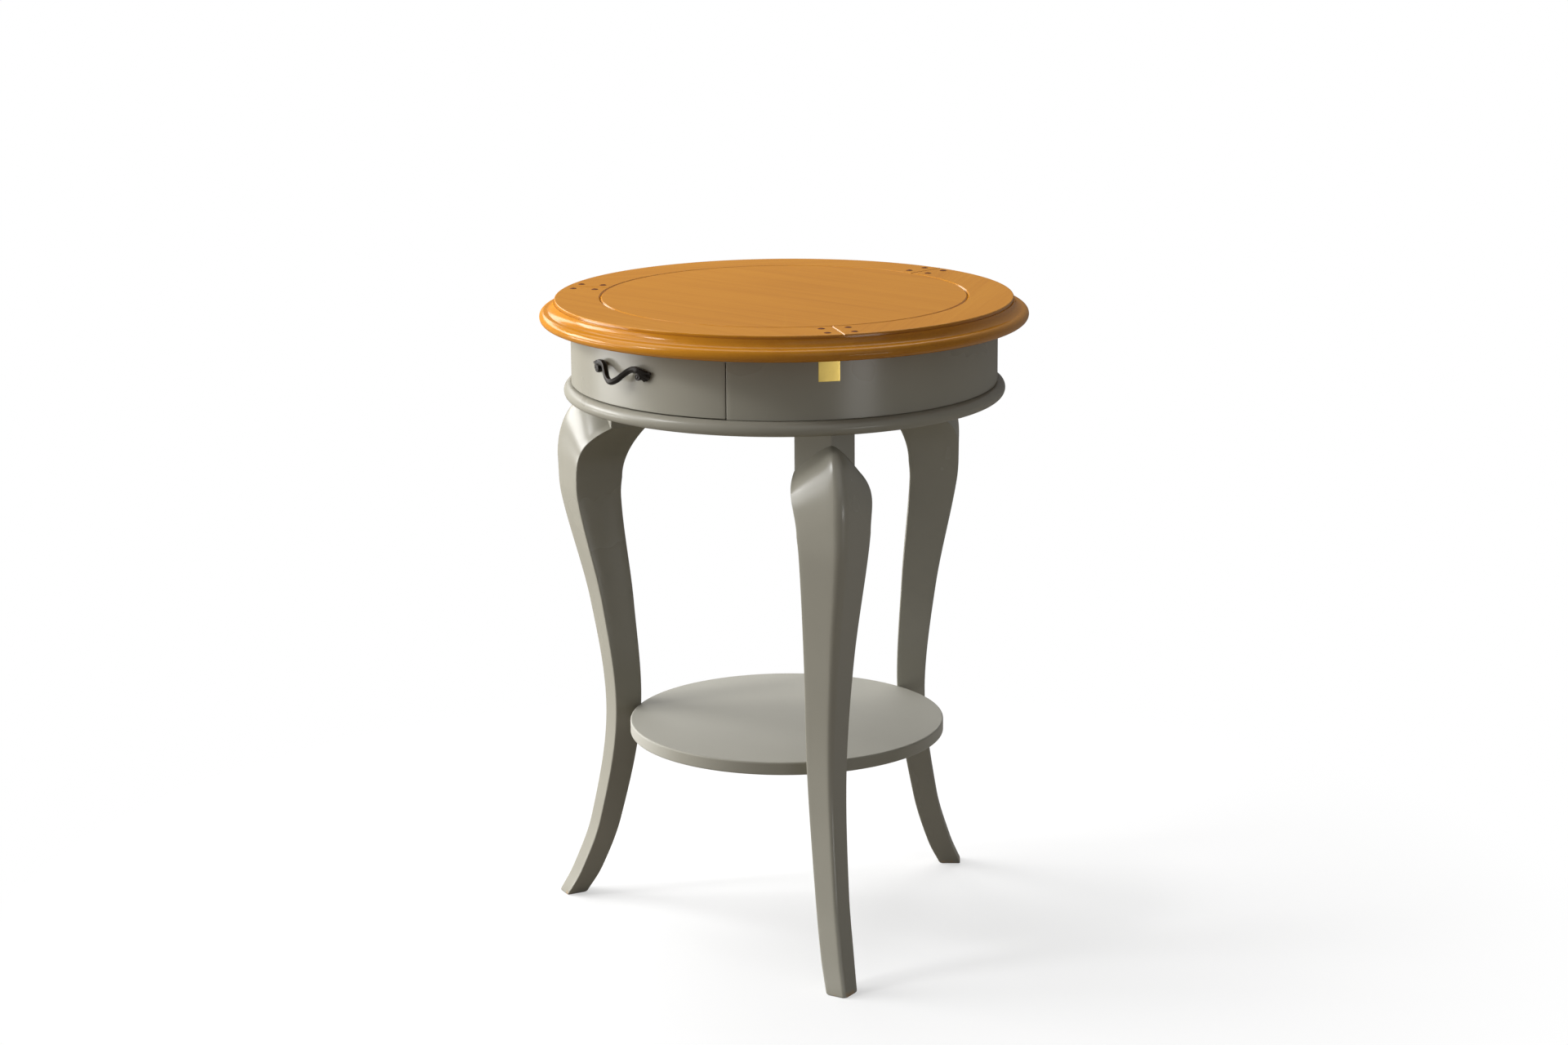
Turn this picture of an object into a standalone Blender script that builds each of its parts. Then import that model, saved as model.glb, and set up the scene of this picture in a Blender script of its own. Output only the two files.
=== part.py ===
"""Round side table with one drawer, a pegged three-part rim, sawn cabriole legs and a low shelf.

Metres, +Z up. The origin lies on the floor, on the table's axis, and the drawer opens towards -Y.
A place around the table is an angle in degrees from -Y, positive towards +X.
"""

from math import asin, cos, degrees, pi, radians, sin, sqrt

import bmesh
import bpy
from mathutils import Matrix, Vector

# Overall sizes
TABLE_HEIGHT = 0.667
APRON_RADIUS = 0.2185
APRON_HEIGHT = 0.0624
APRON_THICKNESS = 0.015
BASE_THICKNESS = 0.015
BASE_OVERHANG = 0.008
SHELF_HEIGHT = 0.2185
SHELF_THICKNESS = 0.0135
SHELF_HOUSING = 0.0018
SHELF_EASE = 0.0015
LEG_ANGLES = {"right": 60.0, "left": -60.0, "back": 180.0}

# Top: a flat panel inside a moulded rim, whose segments meet over the legs
TOP_THICKNESS = 0.024
TOP_OVERHANG = 0.0315
TOP_TURN = 1.7
RIM_WIDTH = 0.0624
NOSE_RADIUS = 0.006
EDGE_DROP = 0.0035
EDGE_LEDGE = 0.0010
EDGE_ROUND = 0.0012
GROOVE_WIDTH = 0.0013
GROOVE_DEPTH = 0.0013
SEAM_BEVEL = 0.0010
PANEL_TONGUE = 0.005
PANEL_TONGUE_THICKNESS = 0.006
PANEL_TONGUE_DROP = 0.007

# Loose tongues across the rim's seams, and the domed pegs that lock them
RIM_TONGUE_LENGTH = 0.048
RIM_TONGUE_THICKNESS = 0.005
RIM_TONGUE_COVER = 0.0032
RIM_TONGUE_MARGIN = 0.0022
PEG_DIAMETER = 0.0072
PEG_DOME = 0.0008
PEG_FLOOR = 0.005
PEG_SPREAD = 0.0135
PEG_INSET = 0.0118
PEG_PITCH = 0.0235

# Cabriole leg. Its pattern is sawn on two adjacent faces of a square post: a reach is measured
# outwards from the post's outer face, and a side is the width of the square at that height.
# The heights of toe, ankle, waist, calf and thigh are shares of the height of the knee.
# The shoulder's powers shape how it falls from the arris, and how side and inner faces roll over.
POST_SIDE = 0.0437
POST_INSET = 0.0082
FOOT_REACH = 0.0363
FOOT_SIDE = 0.0230
TOE_SHARE = 0.062
TOE_REACH = 0.0248
TOE_SIDE = 0.0247
ANKLE_SHARE = 0.185
ANKLE_REACH = 0.0090
ANKLE_SIDE = 0.0254
WAIST_SHARE = 0.431
WAIST_REACH = -0.0042
WAIST_SIDE = 0.0295
CALF_SHARE = 0.678
CALF_REACH = 0.0073
CALF_SIDE = 0.0370
THIGH_SHARE = 0.914
THIGH_REACH = 0.0296
THIGH_SIDE = 0.0506
KNEE_DROP = 0.078
KNEE_REACH = 0.0321
KNEE_SIDE = 0.0568
SIDE_KNEE_DROP = 0.0217
POST_SHOWN_AT_ARRIS = 0.012
POST_SHOWN_AT_SIDES = 0.0412
SHOULDER_FALL = 1.3
SIDE_ROLL = 2.75
INNER_ROLL = 1.9
KNEE_ARRIS_ROUND = 0.012
FOOT_ARRIS_ROUND = 0.0045
SIDE_ROUND = 0.0022
POST_ROUND = 0.0012
FOOT_CHAMFER = 0.0025

# Fixings between base board, legs and shelf
BOLT_DIAMETER = 0.008
BOLT_REACH = 0.042
BOLT_HEAD_WIDTH = 0.013
BOLT_HEAD_HEIGHT = 0.0053
WASHER_DIAMETER = 0.020
WASHER_THICKNESS = 0.0018
LEG_DOWEL_DIAMETER = 0.008
LEG_DOWEL_LENGTH = 0.024
LEG_DOWEL_RISE = 0.010
LEG_DOWEL_OFFSET = 0.017
SHELF_DOWEL_DIAMETER = 0.006
SHELF_DOWEL_LENGTH = 0.034

# Blocks and screws that hold the top to the apron
BLOCK_WIDTH = 0.032
BLOCK_DEPTH = 0.026
BLOCK_HEIGHT = 0.028
BLOCK_FROM_OPENING = 10.0
BLOCK_BACK_ANGLE = 120.0
BLOCK_SCREW_INSET = 0.0068
SCREW_DIAMETER = 0.004
SCREW_HEAD_DIAMETER = 0.008
SCREW_HEAD_HEIGHT = 0.0024
TOP_SCREW_BITE = 0.010

# Drawer and what guides it
OPENING_HALF_ANGLE = 32.5
FRONT_THICKNESS = 0.018
FRONT_GAP = 0.0010
FRONT_BEVEL = 0.0006
BOX_INSET = 0.011
BOX_DEPTH = 0.310
SIDE_THICKNESS = 0.012
SIDE_HOUSING = 0.0075
BACK_THICKNESS = 0.010
BACK_DROP = 0.004
BOTTOM_THICKNESS = 0.005
BOTTOM_RISE = 0.008
BOTTOM_GROOVE = 0.0045
GUIDE_WIDTH = 0.016
GUIDE_HEIGHT = 0.022
GUIDE_SETBACK = 0.012
KICKER_WIDTH = 0.016
KICKER_HEIGHT = 0.0132
STOP_LENGTH = 0.040
STOP_DEPTH = 0.018
STOP_INSET = 0.012

# Cast bow handle: a leaf at each end lies on the drawer front, the bow rises from it to a
# crest, then dips and stands off towards the middle. Places are measured along the front.
HANDLE_DROP = 0.0248
HANDLE_HALF_LENGTH = 0.0455
HANDLE_TIP = 0.0024
LEAF_PLACE = 0.0385
LEAF_HEIGHT = 0.0115
LEAF_THICKNESS = 0.0054
NECK_PLACE = 0.0325
NECK_HEIGHT = 0.0085
CREST_PLACE = 0.0235
CREST_RISE = 0.0043
CREST_STAND = 0.0040
TROUGH_DROP = 0.0100
TROUGH_STAND = 0.0130
HANDLE_ROD = 0.0060
HANDLE_SCREW_PLACE = 0.0375
HANDLE_SCREW_BITE = 0.0026

# Clearances: between seated faces, beside a sliding drawer and above it
SEAT = 0.0003
SLIDE_SIDE = 0.0015
SLIDE_TOP = 0.0012

# Fineness of round work, and the angle from which an edge stays sharp
DISC_STEPS = 72
RIM_STEPS = 24
NOSE_STEPS = 6
COVE_STEPS = 3
APRON_STEPS = 50
FRONT_STEPS = 18
ROD_SIDES = 10
BOLT_CORNERS = 6
HANDLE_RINGS = 30
HANDLE_SIDES = 10
LEG_RING_STEP = 0.028
LEG_FACE_SHARES = (0.3, 0.6, 0.85)
SHOULDER_RINGS = 6
SHARP_ANGLE = 35.0
MERGE_DISTANCE = 1e-6

# Heights, from the top down
TOP_UNDERSIDE = TABLE_HEIGHT - TOP_THICKNESS
APRON_TOP = TOP_UNDERSIDE - SEAT
APRON_BOTTOM = APRON_TOP - APRON_HEIGHT
BASE_TOP = APRON_BOTTOM - SEAT
BASE_BOTTOM = BASE_TOP - BASE_THICKNESS
LEG_TOP = BASE_BOTTOM - SEAT
KNEE_HEIGHT = LEG_TOP - KNEE_DROP
ON_BASE = BASE_TOP + SEAT
SIDE_TOP = APRON_TOP - KICKER_HEIGHT - SLIDE_TOP
BOTTOM_LOW = ON_BASE + BOTTOM_RISE
BOTTOM_HIGH = BOTTOM_LOW + BOTTOM_THICKNESS
HANDLE_HEIGHT = TOP_UNDERSIDE - HANDLE_DROP
SHELF_MIDDLE = SHELF_HEIGHT - SHELF_THICKNESS / 2
PANEL_TONGUE_TOP = TABLE_HEIGHT - PANEL_TONGUE_DROP
PANEL_TONGUE_LOW = PANEL_TONGUE_TOP - PANEL_TONGUE_THICKNESS
RIM_TONGUE_LOW = TOP_UNDERSIDE + RIM_TONGUE_COVER
RIM_TONGUE_TOP = RIM_TONGUE_LOW + RIM_TONGUE_THICKNESS
PEG_LOW = TOP_UNDERSIDE + PEG_FLOOR
LEG_DOWEL_TOP = BASE_BOTTOM + LEG_DOWEL_RISE
LEG_DOWEL_LOW = LEG_DOWEL_TOP - LEG_DOWEL_LENGTH
BLOCK_LOW = APRON_TOP - BLOCK_HEIGHT
TOP_SCREW_TIP = TOP_UNDERSIDE + TOP_SCREW_BITE

# Radii, widths and angles that follow from the sizes above
COVE_RADIUS = TOP_THICKNESS - EDGE_DROP - 2 * NOSE_RADIUS
TOP_RADIUS = APRON_RADIUS + TOP_OVERHANG
PANEL_RADIUS = TOP_RADIUS - RIM_WIDTH
RIM_INNER = (PANEL_RADIUS + SEAT / 2) / cos(pi / (len(LEG_ANGLES) * RIM_STEPS))
FLAT_RADIUS = TOP_RADIUS - NOSE_RADIUS - COVE_RADIUS - EDGE_LEDGE
PEG_ROWS = (PANEL_RADIUS + PEG_INSET, PANEL_RADIUS + PEG_INSET + PEG_PITCH)
APRON_INNER = APRON_RADIUS - APRON_THICKNESS
POST_OUTER = (APRON_RADIUS - POST_INSET) / sqrt(2)
POST_INNER = POST_OUTER - POST_SIDE
POST_CENTRE = (POST_OUTER + POST_INNER) / sqrt(2)
LEG_DOWEL_PLACE = POST_CENTRE - LEG_DOWEL_OFFSET
FRONT_INNER = APRON_RADIUS - FRONT_THICKNESS
FRONT_HALF_ANGLE = OPENING_HALF_ANGLE - degrees(FRONT_GAP / APRON_RADIUS)
BOX_OUTER = APRON_INNER * sin(radians(OPENING_HALF_ANGLE)) - BOX_INSET
BOX_INNER = BOX_OUTER - SIDE_THICKNESS
BOX_BACK = BOX_DEPTH - APRON_RADIUS
STOP_SPREAD = BOX_INNER - STOP_INSET - STOP_LENGTH / 2
SIDE_FRONT = -sqrt(FRONT_INNER**2 - BOX_OUTER**2) - SIDE_HOUSING
GUIDE_OUTER = BOX_OUTER + SLIDE_SIDE + GUIDE_WIDTH
GUIDE_FRONT = GUIDE_SETBACK - sqrt(APRON_INNER**2 - GUIDE_OUTER**2)
APRON_FACET = APRON_INNER * cos(radians(180.0 - OPENING_HALF_ANGLE) / APRON_STEPS)
BLOCK_FACE = sqrt(APRON_FACET**2 - (BLOCK_WIDTH / 2) ** 2) - SEAT
BLOCK_SCREW_PLACE = APRON_INNER - BLOCK_SCREW_INSET
BLOCK_ANGLES = {
    "front_right": OPENING_HALF_ANGLE + BLOCK_FROM_OPENING,
    "front_left": -OPENING_HALF_ANGLE - BLOCK_FROM_OPENING,
    "back_right": BLOCK_BACK_ANGLE,
    "back_left": -BLOCK_BACK_ANGLE,
}

# Base colour, roughness and metallic value of each finish
FINISHES = {
    "honey_wood": ((0.50, 0.22, 0.05), 0.32, 0.0),
    "rim_wood": ((0.46, 0.19, 0.035), 0.30, 0.0),
    "peg_wood": ((0.07, 0.022, 0.010), 0.40, 0.0),
    "apron_lacquer": ((0.33, 0.31, 0.27), 0.33, 0.0),
    "base_lacquer": ((0.33, 0.31, 0.27), 0.33, 0.0),
    "leg_lacquer": ((0.33, 0.31, 0.27), 0.33, 0.0),
    "shelf_lacquer": ((0.34, 0.32, 0.28), 0.35, 0.0),
    "front_lacquer": ((0.33, 0.31, 0.27), 0.33, 0.0),
    "plain_wood": ((0.62, 0.45, 0.27), 0.60, 0.0),
    "plywood": ((0.66, 0.51, 0.33), 0.65, 0.0),
    "beech_pin": ((0.66, 0.47, 0.28), 0.60, 0.0),
    "zinc_steel": ((0.55, 0.55, 0.54), 0.35, 1.0),
    "black_iron": ((0.025, 0.021, 0.016), 0.38, 0.8),
}


# Outlines and basic solids


def polar(radius, angle, height):
    """The point at a radius and an angle from -Y, positive towards +X."""
    return Vector((radius * sin(radians(angle)), -radius * cos(radians(angle)), height))


def arc(centre, radius, start, end, steps):
    """Points on an arc in an outline's plane, with angles in degrees from its first axis."""
    angles = [radians(start + (end - start) * k / steps) for k in range(steps + 1)]
    return [(centre[0] + radius * cos(a), centre[1] + radius * sin(a)) for a in angles]


def through(points, at):
    """A smooth curve through (place, value) points: cubic pieces that share their slopes."""
    last = len(points) - 1
    slopes = []
    for k in range(len(points)):
        before = points[max(k - 1, 0)]
        after = points[min(k + 1, last)]
        slopes.append((after[1] - before[1]) / (after[0] - before[0]))
    k = 0
    while k < last - 1 and at > points[k + 1][0]:
        k += 1
    (start, low), (end, high) = points[k], points[k + 1]
    t = (at - start) / (end - start)
    blend = 3 * t**2 - 2 * t**3
    lean = (t**3 - 2 * t**2 + t) * slopes[k] + (t**3 - t**2) * slopes[k + 1]
    return low + (high - low) * blend + (end - start) * lean


def to_mesh(bm, name):
    """Closes a bmesh into a mesh that faces outwards and is smooth except at real edges."""
    bmesh.ops.recalc_face_normals(bm, faces=bm.faces)
    mesh = bpy.data.meshes.new(name)
    bm.to_mesh(mesh)
    bm.free()
    mesh.shade_smooth()
    mesh.set_sharp_from_angle(angle=radians(SHARP_ANGLE))
    return mesh


def turned(name, outline, steps, start=0.0, sweep=360.0):
    """A solid spun about Z from an outline of (radius, height) points.

    An outline that begins and ends on the axis makes a disc or a pin, any other one a ring.
    """
    bm = bmesh.new()
    corners = [bm.verts.new(polar(radius, start, height)) for radius, height in outline]
    whole = sweep == 360.0
    if not whole:
        bm.faces.new(corners)
    else:
        for pair in zip(corners, corners[1:]):
            bm.edges.new(pair)
        if outline[0][0] > 0:
            bm.edges.new((corners[-1], corners[0]))
    parts = bm.verts[:] + bm.edges[:] + bm.faces[:]
    turn = radians(sweep)
    bmesh.ops.spin(bm, geom=parts, axis=(0, 0, 1), angle=turn, steps=steps, use_merge=whole)
    bmesh.ops.remove_doubles(bm, verts=bm.verts, dist=MERGE_DISTANCE)
    return to_mesh(bm, name)


def loft(name, rings):
    """A solid skinned over rings of equally many points, with flat ends."""
    bm = bmesh.new()
    loops = [[bm.verts.new(point) for point in ring] for ring in rings]
    count = len(rings[0])
    for lower, upper in zip(loops, loops[1:]):
        for k in range(count):
            after = (k + 1) % count
            bm.faces.new((lower[k], lower[after], upper[after], upper[k]))
    bm.faces.new(loops[0])
    bm.faces.new(loops[-1])
    return to_mesh(bm, name)


def board_along_y(name, outline, start, end):
    """An outline of (x, z) points extruded along Y."""
    return loft(name, [[(x, y, z) for x, z in outline] for y in (start, end)])


def board_along_z(name, outline, low, high):
    """An outline of (x, y) points extruded along Z."""
    return loft(name, [[(x, y, z) for x, y in outline] for z in (low, high)])


def box(name, low, high):
    """A box between its lowest and its highest corner."""
    outline = [(low[0], low[1]), (high[0], low[1]), (high[0], high[1]), (low[0], high[1])]
    return board_along_z(name, outline, low[2], high[2])


def drill(diameter, start, end):
    """A cutter for a round hole between two points, with the seat's clearance all round."""
    bm = bmesh.new()
    along = Vector(end) - Vector(start)
    turn = along.to_track_quat("Z", "Y").to_matrix().to_4x4()
    place = Matrix.Translation((Vector(start) + Vector(end)) / 2) @ turn
    radius = (diameter / 2 + SEAT) / cos(pi / ROD_SIDES)
    bmesh.ops.create_cone(
        bm,
        cap_ends=True,
        segments=ROD_SIDES,
        radius1=radius,
        radius2=radius,
        depth=along.length + 2 * SEAT,
        matrix=place,
    )
    return to_mesh(bm, "drill")


def carved(mesh, cutters):
    """The mesh with the cutters' volumes taken away."""
    body = bpy.data.objects.new(mesh.name, mesh)
    helpers = [body]
    for cutter in cutters:
        tool = bpy.data.objects.new("cutter", cutter)
        tool.hide_render = True
        tool.display_type = "WIRE"
        cut = body.modifiers.new("cut", "BOOLEAN")
        cut.operation = "DIFFERENCE"
        cut.solver = "EXACT"
        cut.object = tool
        helpers.append(tool)
    for helper in helpers:
        bpy.context.scene.collection.objects.link(helper)
    graph = bpy.context.evaluated_depsgraph_get()
    result = bpy.data.meshes.new_from_object(body.evaluated_get(graph))
    for helper in helpers:
        bpy.data.objects.remove(helper)
    return result


def turned_about_z(mesh, angle):
    """A copy of a mesh turned about the table's axis."""
    copy = mesh.copy()
    copy.transform(Matrix.Rotation(radians(angle), 4, "Z"))
    return copy


def laid_along_front(mesh, height):
    """A mesh made along Z, laid down so that its Z points along -Y at a height."""
    mesh.transform(Matrix.Translation((0, 0, height)) @ Matrix.Rotation(pi / 2, 4, "X"))
    return mesh


# Finishes and placing


def material(finish):
    """The Principled material of a finish, made once."""
    made = bpy.data.materials.get(finish)
    if made:
        return made
    colour, roughness, metallic = FINISHES[finish]
    made = bpy.data.materials.new(finish)
    made.use_nodes = True
    shader = made.node_tree.nodes["Principled BSDF"]
    shader.inputs["Base Color"].default_value = (*colour, 1.0)
    shader.inputs["Roughness"].default_value = roughness
    shader.inputs["Metallic"].default_value = metallic
    return made


def add(name, mesh, finish, angle=0.0, parent=None):
    """Puts a mesh into the scene as a named piece, turned about the table's axis."""
    piece = bpy.data.objects.new(name, mesh)
    piece.rotation_euler.z = radians(angle)
    mesh.materials.clear()
    mesh.materials.append(material(finish))
    if parent:
        piece.parent = parent
        piece.matrix_parent_inverse = parent.matrix_world.inverted()
    bpy.context.scene.collection.objects.link(piece)
    return piece


def add_empty(name, location):
    """A named point that carries moving pieces."""
    point = bpy.data.objects.new(name, None)
    point.location = location
    bpy.context.scene.collection.objects.link(point)
    bpy.context.view_layer.update()
    return point


# Fixings


def dowel(name, diameter, low, high):
    """A round pin along Z with eased ends."""
    radius = diameter / 2
    ease = radius / 4
    outline = [(0, high), (radius - ease, high), (radius, high - ease)]
    outline += [(radius, low + ease), (radius - ease, low), (0, low)]
    return turned(name, outline, ROD_SIDES)


def upward_screw(name, under_head, tip):
    """A pan-head screw along Z with its head below and its point above."""
    head = SCREW_HEAD_DIAMETER / 2
    shank = SCREW_DIAMETER / 2
    crown = under_head - SCREW_HEAD_HEIGHT
    round_over = SCREW_HEAD_HEIGHT / 2
    outline = [(0, tip), (shank, tip - 2 * shank), (shank, under_head), (head, under_head)]
    outline += [(head, crown + round_over), (head - round_over, crown), (0, crown)]
    return turned(name, outline, ROD_SIDES)


def hex_bolt(name, under_head, tip):
    """A hexagon-head wood bolt along Z with its head above."""
    corner = BOLT_HEAD_WIDTH / sqrt(3)
    flat = BOLT_HEAD_WIDTH / 2
    shank = BOLT_DIAMETER / 2
    head_top = under_head + BOLT_HEAD_HEIGHT

    def ring(radii, height):
        angles = [pi * k / BOLT_CORNERS for k in range(2 * BOLT_CORNERS)]
        return [
            (radii[k % 2] * cos(a), radii[k % 2] * sin(a), height) for k, a in enumerate(angles)
        ]

    return loft(
        name,
        [
            ring((flat, flat), head_top),
            ring((corner, flat), head_top - BOLT_HEAD_HEIGHT / 4),
            ring((corner, flat), under_head),
            ring((shank, shank), under_head),
            ring((shank, shank), tip + shank),
            ring((shank / 3, shank / 3), tip),
        ],
    )


def moved(mesh, place):
    """A mesh moved to a place."""
    mesh.transform(Matrix.Translation(place))
    return mesh


# Top


def rim_outline():
    """(radius, height) outline of the rim: grooved inside, moulded outside."""
    groove = RIM_INNER + PANEL_TONGUE + SEAT
    ledge = TABLE_HEIGHT - EDGE_DROP
    cove_centre = (FLAT_RADIUS + EDGE_LEDGE + COVE_RADIUS, ledge)
    nose_centre = (TOP_RADIUS - NOSE_RADIUS, TOP_UNDERSIDE + NOSE_RADIUS)
    edge_centre = (FLAT_RADIUS - EDGE_ROUND, TABLE_HEIGHT - EDGE_ROUND)
    outline = [(RIM_INNER, TABLE_HEIGHT - GROOVE_DEPTH), (RIM_INNER + GROOVE_WIDTH, TABLE_HEIGHT)]
    outline += arc(edge_centre, EDGE_ROUND, 90, 0, 2)
    outline += [(FLAT_RADIUS, ledge)]
    outline += arc(cove_centre, COVE_RADIUS, 180, 270, COVE_STEPS)
    outline += arc(nose_centre, NOSE_RADIUS, 90, -90, NOSE_STEPS)[1:]
    outline += [(RIM_INNER, TOP_UNDERSIDE), (RIM_INNER, PANEL_TONGUE_LOW - SEAT)]
    outline += [(groove, PANEL_TONGUE_LOW - SEAT), (groove, PANEL_TONGUE_TOP + SEAT)]
    outline += [(RIM_INNER, PANEL_TONGUE_TOP + SEAT)]
    return outline


def panel_outline():
    """(radius, height) outline of the panel, with a tongue round its edge."""
    edge = PANEL_RADIUS - SEAT / 2
    tongue = edge + PANEL_TONGUE
    outline = [(0, TABLE_HEIGHT), (edge - GROOVE_WIDTH, TABLE_HEIGHT)]
    outline += [(edge, TABLE_HEIGHT - GROOVE_DEPTH), (edge, PANEL_TONGUE_TOP)]
    outline += [(tongue, PANEL_TONGUE_TOP), (tongue, PANEL_TONGUE_LOW)]
    outline += [(edge, PANEL_TONGUE_LOW), (edge, TOP_UNDERSIDE), (0, TOP_UNDERSIDE)]
    return outline


def peg_places():
    """(x, y) of the pegs round a seam that lies along -Y."""
    return [(side * PEG_SPREAD, -row) for row in PEG_ROWS for side in (-1, 1)]


def rim_tongue_corners(clearance):
    """Lowest and highest corner of the loose tongue under a seam along -Y."""
    margin = PEG_DIAMETER / 2 + RIM_TONGUE_MARGIN + clearance
    half = RIM_TONGUE_LENGTH / 2 + clearance
    low = (-half, -PEG_ROWS[1] - margin, RIM_TONGUE_LOW - clearance)
    high = (half, -PEG_ROWS[0] + margin, RIM_TONGUE_TOP + clearance)
    return low, high


def seam_cutters():
    """What is cut round a seam along -Y: its fine V on the flat, the mortise and the peg holes."""
    above = TABLE_HEIGHT + SEAM_BEVEL
    vee = [(-2 * SEAM_BEVEL, above), (2 * SEAM_BEVEL, above), (0, TABLE_HEIGHT - SEAM_BEVEL)]
    cutters = [board_along_y("vee", vee, -TOP_RADIUS, -PANEL_RADIUS + GROOVE_WIDTH)]
    cutters.append(box("mortise", *rim_tongue_corners(SEAT)))
    cutters += [drill(PEG_DIAMETER, (x, y, PEG_LOW), (x, y, above)) for x, y in peg_places()]
    return cutters


def top_screw_cutters():
    """Pilot holes for the screws that come up through the blocks."""
    return [
        drill(
            SCREW_DIAMETER,
            polar(BLOCK_SCREW_PLACE, angle, TOP_UNDERSIDE - SEAT),
            polar(BLOCK_SCREW_PLACE, angle, TOP_SCREW_TIP),
        )
        for angle in BLOCK_ANGLES.values()
    ]


def build_top():
    """Panel, rim segments, and the tongue and pegs at each seam."""
    panel = turned("panel", panel_outline(), DISC_STEPS)
    add("top_panel", carved(panel, top_screw_cutters()), "honey_wood")
    seams = {name: angle + TOP_TURN for name, angle in LEG_ANGLES.items()}
    sweep = 360.0 / len(seams)
    joint = degrees(SEAT / 2 / PANEL_RADIUS)
    for name, seam in seams.items():
        segment = turned(
            "rim", rim_outline(), RIM_STEPS, start=seam + joint, sweep=sweep - 2 * joint
        )
        cutters = [
            turned_about_z(cutter, angle)
            for angle in (seam, seam + sweep)
            for cutter in seam_cutters()
        ]
        add(f"rim_segment_{name}", carved(segment, cutters + top_screw_cutters()), "rim_wood")
    holes = [
        drill(PEG_DIAMETER, (x, y, RIM_TONGUE_LOW - SEAT), (x, y, RIM_TONGUE_TOP + SEAT))
        for x, y in peg_places()
    ]
    tongue = carved(box("rim_tongue", *rim_tongue_corners(0.0)), holes)
    radius = PEG_DIAMETER / 2
    peg_outline = [(0, TABLE_HEIGHT + PEG_DOME), (radius / 2, TABLE_HEIGHT + PEG_DOME * 3 / 4)]
    peg_outline += [(radius, TABLE_HEIGHT), (radius, PEG_LOW), (0, PEG_LOW)]
    for name, seam in seams.items():
        add(f"rim_tongue_{name}", tongue, "plain_wood", angle=seam)
        for number, (x, y) in enumerate(peg_places(), start=1):
            peg = moved(turned("rim_peg", peg_outline, ROD_SIDES), (x, y, 0))
            add(f"rim_peg_{name}_{number}", peg, "peg_wood", angle=seam)


# Apron, base board and the blocks that hold the top


def build_carcass():
    """The bent apron, the base board under it, and the screwed blocks inside."""
    apron = [(APRON_RADIUS, APRON_TOP), (APRON_RADIUS, APRON_BOTTOM)]
    apron += [(APRON_INNER, APRON_BOTTOM), (APRON_INNER, APRON_TOP)]
    sweep = 360.0 - 2 * OPENING_HALF_ANGLE
    add("apron", turned("apron", apron, APRON_STEPS, OPENING_HALF_ANGLE, sweep), "apron_lacquer")

    half = BASE_THICKNESS / 2
    edge_centre = (APRON_RADIUS + BASE_OVERHANG - half, BASE_BOTTOM + half)
    edge = arc(edge_centre, half, 90, -90, NOSE_STEPS)
    board = turned("base_board", [(0, BASE_TOP)] + edge + [(0, BASE_BOTTOM)], DISC_STEPS)
    holes = []
    for angle in LEG_ANGLES.values():
        bolt = (polar(POST_CENTRE, angle, BASE_BOTTOM - SEAT), polar(POST_CENTRE, angle, ON_BASE))
        pin = (
            polar(LEG_DOWEL_PLACE, angle, BASE_BOTTOM - SEAT),
            polar(LEG_DOWEL_PLACE, angle, LEG_DOWEL_TOP),
        )
        holes += [drill(BOLT_DIAMETER, *bolt), drill(LEG_DOWEL_DIAMETER, *pin)]
    add("base_board", carved(board, holes), "base_lacquer")

    low = (-BLOCK_WIDTH / 2, -BLOCK_FACE, BLOCK_LOW)
    high = (BLOCK_WIDTH / 2, BLOCK_DEPTH - BLOCK_FACE, APRON_TOP)
    hole = drill(
        SCREW_DIAMETER,
        (0, -BLOCK_SCREW_PLACE, BLOCK_LOW - SEAT),
        (0, -BLOCK_SCREW_PLACE, APRON_TOP + SEAT),
    )
    block = carved(box("top_block", low, high), [hole])
    fixing = moved(
        upward_screw("top_screw", BLOCK_LOW - SEAT, TOP_SCREW_TIP), (0, -BLOCK_SCREW_PLACE, 0)
    )
    for name, angle in BLOCK_ANGLES.items():
        add(f"top_block_{name}", block, "plain_wood", angle=angle)
        add(f"top_screw_{name}", fixing, "zinc_steel", angle=angle)


# Legs and shelf


def leg_stations():
    """(height, reach, side) of the sawn pattern, from foot to knee."""
    shares = [
        (0.0, FOOT_REACH, FOOT_SIDE),
        (TOE_SHARE, TOE_REACH, TOE_SIDE),
        (ANKLE_SHARE, ANKLE_REACH, ANKLE_SIDE),
        (WAIST_SHARE, WAIST_REACH, WAIST_SIDE),
        (CALF_SHARE, CALF_REACH, CALF_SIDE),
        (THIGH_SHARE, THIGH_REACH, THIGH_SIDE),
        (1.0, KNEE_REACH, KNEE_SIDE),
    ]
    return [(share * KNEE_HEIGHT, reach, side) for share, reach, side in shares]


def leg_outer(height):
    """Distance of the outer faces from the table's axis, up to the knee."""
    return POST_OUTER + through([(z, reach) for z, reach, _ in leg_stations()], height)


def leg_inner(height):
    """Distance of the inner faces from the table's axis, up to the knee."""
    return leg_outer(height) - through([(z, side) for z, _, side in leg_stations()], height)


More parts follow.
